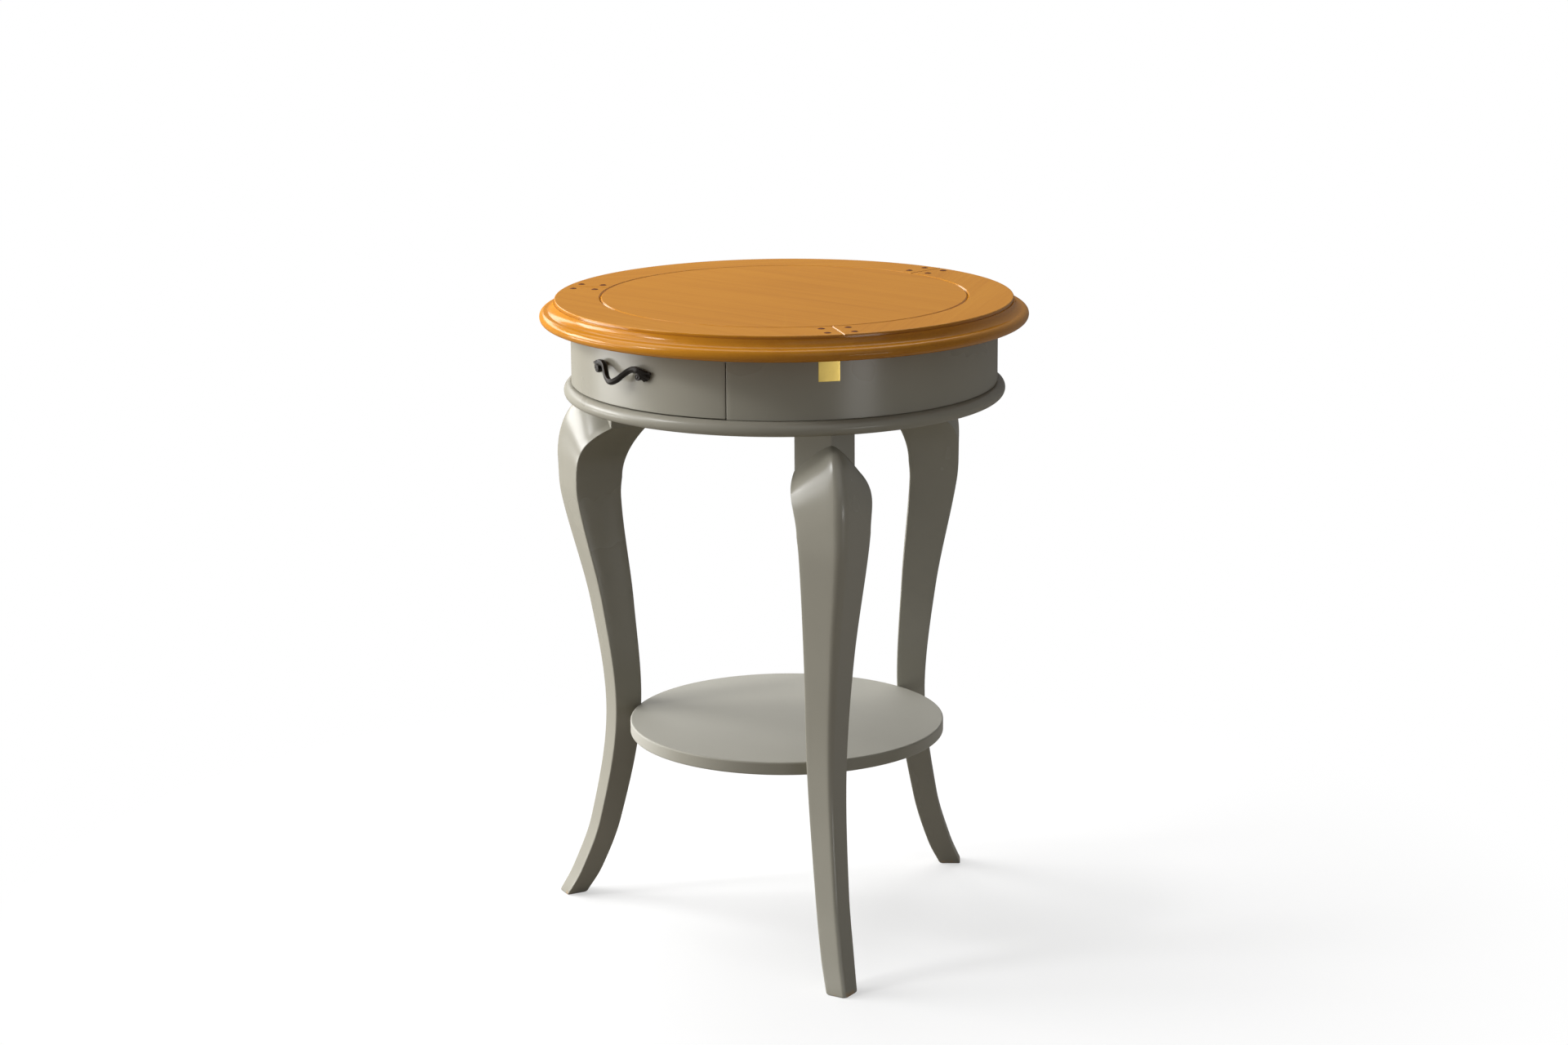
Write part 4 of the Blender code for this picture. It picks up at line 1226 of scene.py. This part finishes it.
@dataclass
class Legs(SubAssembly):
    """Three cabriole legs, each sawn from a square post on two faces, and the low shelf."""

    post_side: float = 0.0437
    post_inset: float = 0.0082
    pattern: tuple[tuple[float, float, float], ...] = (
        (0.0, 0.0363, 0.0230),
        (0.062, 0.0248, 0.0247),
        (0.185, 0.0090, 0.0254),
        (0.431, -0.0042, 0.0295),
        (0.678, 0.0073, 0.0370),
        (0.914, 0.0296, 0.0506),
        (1.0, 0.0321, 0.0568),
    )
    knee_drop: float = 0.078
    side_knee_drop: float = 0.0217
    shown_at_arris: float = 0.012
    shown_at_sides: float = 0.0412
    shoulder_fall: float = 1.3
    side_roll: float = 4.2
    inner_roll: float = 1.9
    knee_arris: float = 0.012
    foot_arris: float = 0.0045
    side_round: float = 0.0014
    post_round: float = 0.0012
    foot_chamfer: float = 0.0025
    shelf_housing: float = 0.0018
    shelf_ease: float = 0.0015
    shelf_hold: float = 0.001
    ring_step: float = 0.007
    foot_rings: int = 3
    shoulder_rings: int = 26
    face_parts: int = 8
    corner_steps: int = 5
    arris_steps: int = 10
    housing_steps: int = 180
    shelf_steps: int = 240
    smooth: float = 38.0

    @property
    def top(self) -> float:
        """The height of the posts' upper ends."""
        return self.sizes.base_bottom - self.sizes.seat

    @property
    def knee_height(self) -> float:
        """The height of the knees."""
        return self.top - self.knee_drop

    @property
    def post_outer(self) -> float:
        """How far the posts' outer faces lie from the axis."""
        return (self.sizes.apron_radius - self.post_inset) / sqrt(2)

    @property
    def shelf_radius(self) -> float:
        """The shelf's radius, which reaches into a housing in the legs."""
        middle = self.sizes.shelf_height - self.sizes.shelf_thickness / 2
        return sqrt(2) * self.inner(middle) + self.shelf_housing

    def outer(self, height: float) -> float:
        """How far the outer faces lie from the axis, up to the knee."""
        reach = [(share * self.knee_height, reach) for share, reach, _ in self.pattern]
        return self.post_outer + through(reach, height)

    def inner(self, height: float) -> float:
        """How far the inner faces lie from the axis, up to the knee."""
        side = [(share * self.knee_height, side) for share, _, side in self.pattern]
        return self.outer(height) - through(side, height)

    def knee_line(self, share: float) -> float:
        """The knee's height, at a share of the way from a side corner to the arris."""
        return self.knee_height - self.side_knee_drop * (1 - share) ** self.shoulder_fall

    def ring(
        self, inner: float, arris: float, corner: float, level_at: Callable[[float], Level]
    ) -> list[Vector]:
        """One ring round a leg that faces -Y: a square with a rounded outer arris.

        Args:
            inner: How far the inner faces lie from the axis.
            arris: The radius of the outer arris.
            corner: The radius of the other corners.
            level_at: How far the outer faces lie from the axis, and the height, both at a share
                of the way from a side corner to the arris.

        Returns:
            The ring's points.
        """
        near = inner + corner
        far = level_at(0.0)[0] - corner
        flat = level_at(1.0)[0] - arris
        steps = self.corner_steps
        shares = [k / self.face_parts for k in range(1, self.face_parts)]
        face = [(level_at(share)[0], near + (flat - near) * share, share) for share in shares]
        path = [(u, v, 0.0) for u, v in arc((near, near), corner, 180, 270, steps)]
        path += [(near + (far - near) * k / steps, inner, 0.0) for k in range(1, steps)]
        path += [(u, v, 0.0) for u, v in arc((far, near), corner, 270, 360, steps)]
        path += face
        path += [(u, v, 1.0) for u, v in arc((flat, flat), arris, 0, 90, self.arris_steps)]
        path += [(v, u, share) for u, v, share in reversed(face)]
        path += [(u, v, 0.0) for u, v in arc((near, far), corner, 90, 180, steps)]
        path += [(inner, far - (far - near) * k / steps, 0.0) for k in range(1, steps)]
        half = sqrt(0.5)
        return [Vector((half * (u - v), -half * (u + v), level_at(t)[1])) for u, v, t in path]

    def foot_ring(self, turn: float) -> list[Vector]:
        """A ring of the foot's rounded lower edge, which turns by a right angle.

        Args:
            turn: How far it has turned.

        Returns:
            The ring's points.
        """
        inset = self.foot_chamfer * (1 - sin(turn))
        height = self.foot_chamfer * (1 - cos(turn))
        level = (self.outer(height) - inset, height)
        inner = self.inner(height) + inset
        return self.ring(inner, self.foot_arris, self.side_round, lambda share: level)

    def shank_ring(self, rise: float) -> list[Vector]:
        """A ring of the shank: level up to the thigh, then tilting towards the knee's line.

        Args:
            rise: The ring's height at the arris.

        Returns:
            The ring's points.
        """
        thigh = self.pattern[-2][0] * self.knee_height
        tilt = max(0.0, (rise - thigh) / (self.knee_height - thigh))

        def level_at(share: float) -> Level:
            """The pattern's reach and the height on this ring."""
            height = rise - tilt * (self.knee_height - self.knee_line(share))
            return self.outer(height), height

        growth = (rise / self.knee_height) ** 2
        arris = self.foot_arris + (self.knee_arris - self.foot_arris) * growth
        return self.ring(self.inner(level_at(0.0)[1]), arris, self.side_round, level_at)

    def shoulder_ring(self, turn: float) -> list[Vector]:
        """A ring of the shoulder, which rounds over from knee to post by a right angle.

        Args:
            turn: How far it has turned.

        Returns:
            The ring's points.
        """
        out = cos(turn)
        roll = (1 - out) ** (1 / self.side_roll)
        knee_inner = self.inner(self.knee_line(0.0))
        post_inner = self.post_outer - self.post_side
        inner = knee_inner + (post_inner - knee_inner) * roll**self.inner_roll
        arris = self.post_round + (self.knee_arris - self.post_round) * out
        corner = self.post_round + (self.side_round - self.post_round) * out

        def level_at(share: float) -> Level:
            """The shoulder's reach and height, which are greatest at the arris.

            Args:
                share: The share of the way from a side corner to the arris.

            Returns:
                The reach and the height.
            """
            fall = (1 - share) ** self.shoulder_fall
            knee = self.knee_line(share)
            shown = self.shown_at_arris + (self.shown_at_sides - self.shown_at_arris) * fall
            lift = sin(turn) + (roll - sin(turn)) * fall
            reach = self.post_outer + (self.outer(knee) - self.post_outer) * out
            return reach, knee + (self.top - shown - knee) * lift

        return self.ring(inner, arris, corner, level_at)

    def rings(self) -> list[list[Vector]]:
        """All rings of a leg, from its foot to the top of its post.

        Returns:
            The rings.
        """
        low, high = self.foot_chamfer, self.knee_height
        pieces = round((high - low) / self.ring_step)
        rings = [self.foot_ring(pi / 2 * k / self.foot_rings) for k in range(self.foot_rings + 1)]
        rings += [self.shank_ring(low + (high - low) * k / pieces) for k in range(1, pieces)]
        count = self.shoulder_rings
        rings += [self.shoulder_ring(pi / 2 * (k / count) ** 2) for k in range(count + 1)]
        post = (self.post_outer, self.top)
        inner = self.post_outer - self.post_side
        rings.append(self.ring(inner, self.post_round, self.post_round, lambda share: post))
        return rings

    def shelf_line(self, clearance: float) -> Line:
        """The shelf's outline, grown by a clearance.

        Args:
            clearance: How far it is grown.

        Returns:
            The outline.
        """
        radius = self.shelf_radius + clearance
        high = self.sizes.shelf_height + clearance
        low = self.sizes.shelf_height - self.sizes.shelf_thickness - clearance
        corners = [Corner(0.0, high), Corner(radius, high, self.shelf_ease)]
        corners += [Corner(radius, low, self.shelf_ease), Corner(0.0, low)]
        return Outline(corners, hold=self.shelf_hold).line()

    def build(self) -> None:
        """Builds and dresses one leg, its copies and the shelf."""
        lacquer = LEG_LACQUER.material()
        first = Bench.loft("carved_leg", self.rings())
        housing = Bench.turn("cutter", self.shelf_line(self.sizes.seat), self.housing_steps)
        Bench.carve(first, housing)
        Bench.smooth(Bench.closed(first), self.smooth)
        for name, angle in self.sizes.leg_angles.items():
            leg = Bench.copy(first, f"carved_leg_{name}", angle)
            self.hand_over(leg, lacquer, "leg_lacquer", CARCASS, f"leg_{name}")
        bpy.data.objects.remove(first)
        shelf = Bench.turn("round_shelf", self.shelf_line(0.0), self.shelf_steps)
        Bench.smooth(shelf)
        self.hand_over(shelf, SHELF_LACQUER.material(), "shelf_lacquer", CARCASS, "shelf")


@dataclass
class Drawer(SubAssembly):
    """The drawer's bowed front and its cast handle."""

    front_thickness: float = 0.018
    front_gap: float = 0.0010
    front_ease: float = 0.0008
    slide_top: float = 0.0012
    bottom_low: float = 0.5883
    bottom_high: float = 0.5933
    bottom_groove: float = 0.0045
    box_outer: float = 0.09834
    box_inner: float = 0.08634
    side_front: float = -0.18220
    side_top: float = 0.6283
    housing_back: float = -0.1
    cut_past: float = 0.002
    front_steps: int = 64

    def build(self) -> None:
        """Builds and dresses the front and the handle."""
        self.build_front()
        Handle(self.sizes).build()

    def build_front(self) -> None:
        """The bowed front: grooved for the bottom and housed for the sides."""
        sizes = self.sizes
        low = sizes.base_top + self.front_gap
        high = sizes.top_underside - self.slide_top
        inner = sizes.apron_radius - self.front_thickness
        groove = inner + self.bottom_groove
        seat = sizes.seat
        corners = [Corner(sizes.apron_radius, high, self.front_ease)]
        corners += [Corner(sizes.apron_radius, low, self.front_ease), Corner(inner, low)]
        corners += [Corner(inner, self.bottom_low - seat), Corner(groove, self.bottom_low - seat)]
        corners += [Corner(groove, self.bottom_high + seat), Corner(inner, self.bottom_high + seat)]
        corners += [Corner(inner, high, self.front_ease)]
        half = sizes.opening_half_angle - degrees(self.front_gap / sizes.apron_radius)
        line = Outline(corners, closed=True).line()
        front = Bench.turn("bowed_front", line, self.front_steps, -half, 2 * half)
        for angle in (-half, half):
            Bench.ease_end(front, angle, self.front_ease)
        for side in (-1, 1):
            across = sorted((side * (self.box_inner - seat), side * (self.box_outer + seat)))
            deep = (across[0], self.side_front - seat, sizes.base_top - self.cut_past)
            shallow = (across[1], self.housing_back, self.side_top + seat)
            Bench.carve(front, Bench.block(deep, shallow))
        Bench.smooth(Bench.closed(front))
        self.hand_over(front, CARCASS_LACQUER.material(), "front_lacquer", DRAWER, "drawer_front")


@dataclass
class Handle(SubAssembly):
    """The cast bow handle: a dipping bow between two leaves with curled fingers."""

    drop: float = 0.0248
    voxel: float = 0.00028
    bow: tuple[Station, ...] = (
        (0.0, 0.0130, -0.0100, 0.0031),
        (0.0065, 0.0117, -0.0076, 0.0030),
        (0.0130, 0.0086, -0.0018, 0.0029),
        (0.0190, 0.0058, 0.0028, 0.0030),
        (0.0240, 0.0047, 0.0043, 0.0034),
        (0.0290, 0.0044, 0.0036, 0.0036),
        (0.0330, 0.0040, 0.0028, 0.0030),
        (0.0365, 0.0034, 0.0022, 0.0020),
    )
    fingers: tuple[tuple[Station, ...], ...] = (
        (
            (0.0300, 0.0046, 0.0036, 0.0028),
            (0.0345, 0.0040, 0.0030, 0.0024),
            (0.0388, 0.0030, 0.0022, 0.0017),
            (0.0418, 0.0021, 0.0018, 0.0012),
        ),
        (
            (0.0300, 0.0048, 0.0018, 0.0026),
            (0.0350, 0.0044, 0.0000, 0.0020),
            (0.0382, 0.0032, -0.0016, 0.0015),
            (0.0400, 0.0021, -0.0028, 0.0012),
        ),
        (
            (0.0305, 0.0048, 0.0006, 0.0022),
            (0.0342, 0.0045, -0.0018, 0.0018),
            (0.0364, 0.0034, -0.0038, 0.0014),
            (0.0374, 0.0021, -0.0050, 0.0011),
        ),
        (
            (0.0305, 0.0046, -0.0006, 0.0020),
            (0.0328, 0.0044, -0.0028, 0.0016),
            (0.0340, 0.0033, -0.0047, 0.0013),
            (0.0344, 0.0020, -0.0059, 0.0010),
        ),
    )
    tip: float = 1.35
    scroll: Station = (0.0302, 0.0038, -0.0022, 0.0037)
    scroll_stand: float = 0.7
    scroll_ring: float = 0.72
    scroll_wire: float = 0.27
    pad_size: Place = (0.0068, 0.0017, 0.0050)
    pad_place: Place = (0.0345, -0.0017, -0.0008)
    rib_radius: float = 0.0011
    rib_stand: float = 0.55
    rib_rise: float = 0.72
    soften_factor: float = 0.5
    soften_rounds: int = 8
    smooth: float = 60.0

    @property
    def height(self) -> float:
        """The height of the handle's middle line."""
        return self.sizes.top_underside - self.drop

    @staticmethod
    def strand(stations: Sequence[Station]) -> Piece:
        """A round strand of changing thickness.

        Args:
            stations: Place along the front, stand-off, rise and radius of each point.

        Returns:
            The strand.
        """
        Bench.clear()
        bpy.ops.curve.primitive_bezier_curve_add(radius=0.01)
        strand = Bench.named("strand")
        curve = strand.data
        curve.dimensions = "3D"
        curve.bevel_depth = 1.0
        curve.bevel_resolution = 5
        curve.use_fill_caps = True
        curve.resolution_u = 12
        points = curve.splines[0].bezier_points
        points.add(len(stations) - len(points))
        for point, (along, stand, rise, radius) in zip(points, stations):
            point.handle_left_type = "AUTO"
            point.handle_right_type = "AUTO"
            point.co = (along, -stand, rise)
            point.radius = radius
        bpy.ops.object.convert(target="MESH")
        return bpy.context.object

    @staticmethod
    def ball(along: float, stand: float, rise: float, radius: float) -> Piece:
        """A small ball.

        Args:
            along: Its place along the front.
            stand: How far it stands off the front.
            rise: How far it lies above the handle's middle line.
            radius: Its radius.

        Returns:
            The ball.
        """
        Bench.clear()
        bpy.ops.mesh.primitive_uv_sphere_add(
            segments=24, ring_count=16, radius=radius, location=(along, -stand, rise)
        )
        return bpy.context.object

    @staticmethod
    def ring(along: float, stand: float, rise: float, radius: float, wire: float) -> Piece:
        """A small ring that lies on the front.

        Args:
            along: Its place along the front.
            stand: How far it stands off the front.
            rise: How far it lies above the handle's middle line.
            radius: Its radius.
            wire: The radius of its wire.

        Returns:
            The ring.
        """
        Bench.clear()
        bpy.ops.mesh.primitive_torus_add(
            major_radius=radius,
            minor_radius=wire,
            major_segments=32,
            minor_segments=12,
            location=(along, -stand, rise),
            rotation=(pi / 2, 0.0, 0.0),
        )
        return bpy.context.object

    def leaf(self) -> list[Piece]:
        """The right-hand leaf: its fingers with their tips, the scroll and the pad.

        Returns:
            The pieces.
        """
        pieces = [self.strand(finger) for finger in self.fingers]
        for finger in self.fingers:
            along, stand, rise, radius = finger[-1]
            pieces.append(self.ball(along, stand, rise, radius * self.tip))
        along, stand, rise, radius = self.scroll
        pieces.append(self.ball(*self.scroll))
        stand += radius * self.scroll_stand
        ring, wire = radius * self.scroll_ring, radius * self.scroll_wire
        pieces.append(self.ring(along, stand, rise, ring, wire))
        Bench.clear()
        bpy.ops.mesh.primitive_uv_sphere_add(segments=32, ring_count=20, radius=1.0)
        pad = bpy.context.object
        pad.scale = self.pad_size
        pad.location = self.pad_place
        return pieces + [pad]

    def build(self) -> None:
        """Builds, casts and dresses the handle."""
        leaf = self.leaf()
        Bench.take(*leaf)
        bpy.ops.object.join()
        bpy.ops.object.transform_apply(location=True, rotation=True, scale=True)
        handle = Bench.named("cast_handle")
        bpy.ops.object.modifier_add(type="MIRROR")
        bpy.ops.object.modifier_apply(modifier=handle.modifiers[-1].name)
        left = [(-s, d, h, r) for s, d, h, r in reversed(self.bow[1:])]
        line = left + list(self.bow)
        rib_line = [
            (along, stand + radius * self.rib_stand, rise + radius * self.rib_rise, self.rib_radius)
            for along, stand, rise, radius in line
        ]
        bow = self.strand(line)
        rib = self.strand(rib_line)
        Bench.take(handle, bow, rib)
        bpy.ops.object.join()
        bpy.ops.object.modifier_add(type="REMESH")
        cast = handle.modifiers[-1]
        cast.mode = "VOXEL"
        cast.voxel_size = self.voxel
        bpy.ops.object.modifier_apply(modifier=cast.name)
        bpy.ops.object.modifier_add(type="SMOOTH")
        soften = handle.modifiers[-1]
        soften.factor = self.soften_factor
        soften.iterations = self.soften_rounds
        bpy.ops.object.modifier_apply(modifier=soften.name)
        self.lay_round_front(handle)
        Bench.smooth(Bench.closed(handle), self.smooth)
        self.hand_over(handle, BLACK_IRON.material(), "black_iron", DRAWER, "drawer_handle")

    def lay_round_front(self, handle: Piece) -> None:
        """Lays the straight casting round the bowed front.

        Args:
            handle: The casting.
        """
        radius = self.sizes.apron_radius
        mesh = Bench.edit(handle)
        for vert in mesh.verts:
            along, stand, rise = vert.co.x, max(-vert.co.y, self.sizes.seat), vert.co.z
            vert.co = polar(radius + stand, degrees(along / radius), self.height + rise)
        bmesh.update_edit_mesh(handle.data)


@dataclass
class Fittings(SubAssembly):
    """The inner pieces that are shown as they come, with eased edges and their own finishes."""

    ease: float = 0.0006
    ease_segments: int = 2
    ease_angle: float = 40.0

    def build(self, nodes: dict[str, Piece]) -> None:
        """Dresses the inner pieces.

        Args:
            nodes: The frame's nodes by name.
        """
        woods = {
            PLAIN_WOOD: ("drawer_side_", "drawer_guide_", "drawer_kicker_"),
            CROSS_WOOD: ("drawer_back", "drawer_stop_", "top_block_", "rim_tongue_"),
            PLYWOOD: ("drawer_bottom",),
            BEECH: ("leg_dowel_", "shelf_dowel_"),
        }
        for wood, starts in woods.items():
            finish = wood.material()
            for node in self.named(nodes, starts):
                self.soften(node)
                self.dress(node, finish)
        finish = ZINC.material()
        for node in self.named(nodes, ("top_screw_", "leg_bolt_", "leg_washer_", "handle_screw_")):
            self.dress(node, finish)

    @staticmethod
    def named(nodes: dict[str, Piece], starts: tuple[str, ...]) -> list[Piece]:
        """The nodes whose names have one of these starts."""
        return [node for name, node in sorted(nodes.items()) if name.startswith(starts)]

    def soften(self, node: Piece) -> None:
        """Eases the edges of a node with modifiers, which leave its mesh alone.

        Args:
            node: The node.
        """
        weld = node.modifiers.new("weld", "WELD")
        weld.merge_threshold = MERGE
        bevel = node.modifiers.new("ease", "BEVEL")
        bevel.width = self.ease
        bevel.segments = self.ease_segments
        bevel.limit_method = "ANGLE"
        bevel.angle_limit = radians(self.ease_angle)

    @staticmethod
    def dress(node: Piece, finish: bpy.types.Material) -> None:
        """Gives a node its finish and reports it.

        Args:
            node: The node.
            finish: Its material.
        """
        node.data.materials.clear()
        node.data.materials.append(finish)
        LOG.info("%s: dressed in %s", node.name, finish.name)


@dataclass(frozen=True)
class Window:
    """A large soft lamp that faces the table, with its level where it meets a facing surface."""

    name: str
    angle: float
    rise: float
    distance: float
    size: Span
    level: float
    aim: float = 0.42

    def build(self) -> None:
        """Adds the lamp."""
        Bench.clear()
        goal = Vector((0.0, 0.0, self.aim))
        out = self.distance * cos(radians(self.rise))
        spot = goal + polar(out, self.angle, self.distance * sin(radians(self.rise)))
        bpy.ops.object.light_add(type="AREA", location=spot)
        lamp = Bench.named(self.name)
        lamp.rotation_euler = (goal - spot).to_track_quat("-Z", "Y").to_euler()
        lamp.data.shape = "RECTANGLE"
        lamp.data.size, lamp.data.size_y = self.size
        lamp.data.energy = self.level * (pi * self.distance) ** 2


@dataclass(frozen=True)
class Studio:
    """A pale floor, soft windows and low cards, stronger from the left, and a white surround."""

    floor_radius: float = 40.0
    floor_sides: int = 96
    floor_white: float = 0.95
    floor_mottle: float = 0.985
    floor_dull: Colour = (0.225, 0.193, 0.148)
    near: float = 0.10
    far: float = 0.85
    veil: float = 0.45
    mirrored: float = 0.55
    windows: tuple[Window, ...] = (
        Window("tall_window", -60.0, 20.0, 4.6, (2.2, 1.6), 0.80),
        Window("side_window", -35.0, 18.0, 4.6, (2.0, 2.0), 0.34),
        Window("high_window", -26.0, 37.0, 4.6, (0.8, 0.8), 0.32),
        Window("upper_window", -55.0, 50.0, 4.6, (2.0, 2.0), 0.17),
        Window("rear_window", -97.0, 18.0, 4.6, (3.4, 0.8), 0.26),
        Window("far_window", 75.0, 35.0, 4.6, (3.6, 3.6), 0.13),
        Window("skylight", -125.0, 60.0, 4.6, (4.0, 4.0), 0.56),
        Window("left_card", -50.0, -4.0, 3.0, (1.8, 0.38), 0.34),
        Window("right_card", 86.0, -4.0, 3.0, (0.9, 0.38), 0.085),
    )
    surround: Colour = (0.020, 0.018, 0.015)

    def build(self) -> None:
        """Builds the floor, the lamps and the world."""
        self.build_floor()
        for window in self.windows:
            window.build()
        self.build_world()
        bpy.context.scene.view_settings.view_transform = "Standard"

    def seen(self, nodes: bpy.types.Nodes, links: bpy.types.NodeLinks) -> Socket:
        """1 for rays from the camera, which show the background, and less by way of gloss.

        Args:
            nodes: The tree's nodes.
            links: The tree's links.

        Returns:
            The value.
        """
        path = nodes.new("ShaderNodeLightPath")
        value = path.outputs["Is Camera Ray"]
        for name, share in (("Is Glossy Ray", self.mirrored), ("Is Transmission Ray", 1.0)):
            part = nodes.new("ShaderNodeMath")
            part.operation = "MULTIPLY"
            part.inputs[1].default_value = share
            links.new(path.outputs[name], part.inputs[0])
            either = nodes.new("ShaderNodeMath")
            either.operation = "MAXIMUM"
            links.new(value, either.inputs[0])
            links.new(part.outputs[0], either.inputs[1])
            value = either.outputs[0]
        return value

    def build_floor(self) -> None:
        """A pale floor that keeps the shadow near the table and is white further off."""
        Bench.clear()
        bpy.ops.mesh.primitive_circle_add(
            vertices=self.floor_sides, radius=self.floor_radius, fill_type="NGON"
        )
        floor = Bench.named("floor")
        sheet = NodeSheet("pale_floor")
        tint = sheet.noise(sheet.place(), 3.0, 3.0)
        pale = (self.floor_white, self.floor_white, self.floor_white)
        deep = tuple(part * self.floor_mottle for part in pale)
        sheet.set(Base_Color=sheet.ramp(tint, [(0.3, deep), (0.7, pale)]), Roughness=0.9)
        sheet.set(Specular_IOR_Level=0.0)
        reach = sheet.add("ShaderNodeVectorMath", {}, operation="LENGTH")
        sheet.feed(reach.inputs[0], sheet.place())
        away = sheet.spread(reach.outputs["Value"], (self.near, self.far), (self.veil, 1.0))
        white = sheet.add("ShaderNodeEmission", {"Color": (1.0, 1.0, 1.0, 1.0), "Strength": 1.0})
        dull = sheet.add("ShaderNodeBsdfDiffuse", {"Color": (*self.floor_dull, 1.0)})
        shown = sheet.join(away, sheet.shader.outputs["BSDF"], white.outputs["Emission"])
        sheet.out(sheet.join(self.seen(sheet.nodes, sheet.links), dull.outputs["BSDF"], shown))
        floor.data.materials.append(sheet.material)

    def build_world(self) -> None:
        """A soft surround that reads white where it shows."""
        world = bpy.data.worlds.new("surround")
        bpy.context.scene.world = world
        world.use_nodes = True
        nodes, links = world.node_tree.nodes, world.node_tree.links
        soft = nodes["Background"]
        soft.inputs["Color"].default_value = (*self.surround, 1.0)
        white = nodes.new("ShaderNodeBackground")
        white.inputs["Color"].default_value = (1.0, 1.0, 1.0, 1.0)
        mix = nodes.new("ShaderNodeMixShader")
        links.new(self.seen(nodes, links), mix.inputs[0])
        links.new(soft.outputs[0], mix.inputs[1])
        links.new(white.outputs[0], mix.inputs[2])
        links.new(mix.outputs[0], nodes["World Output"].inputs["Surface"])


@dataclass(frozen=True)
class Viewpoint:
    """The camera's place, fitted to the table's rims, feet and drawer edges."""

    angle: float = 47.5
    distance: float = 3.4904
    height: float = 1.2612
    pitch: float = 13.431
    roll: float = 0.392
    lens: float = 79.39
    shift: float = -0.00096

    def build(self) -> None:
        """Adds the camera and makes it the scene's own."""
        Bench.clear()
        bpy.ops.object.camera_add(location=polar(self.distance, self.angle, self.height))
        camera = Bench.named("camera")
        turn = Matrix.Rotation(radians(self.angle), 3, "Z")
        tilt = Matrix.Rotation(radians(90.0 - self.pitch), 3, "X")
        lean = Matrix.Rotation(radians(-self.roll), 3, "Z")
        camera.rotation_euler = (turn @ tilt @ lean).to_euler()
        camera.data.lens = self.lens
        camera.data.sensor_width = 36.0
        camera.data.shift_x = self.shift
        bpy.context.scene.camera = camera


def main() -> None:
    """Loads the frame, builds the table around it, and sets the studio and the camera."""
    logging.basicConfig(level=logging.INFO, format="%(name)s: %(message)s")
    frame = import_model()
    sizes = TableSizes()
    Top(sizes).build()
    Carcass(sizes).build()
    Legs(sizes).build()
    Drawer(sizes).build()
    Fittings(sizes).build(frame["nodes"])
    Studio().build()
    Viewpoint().build()


if __name__ == "__main__":
    main()
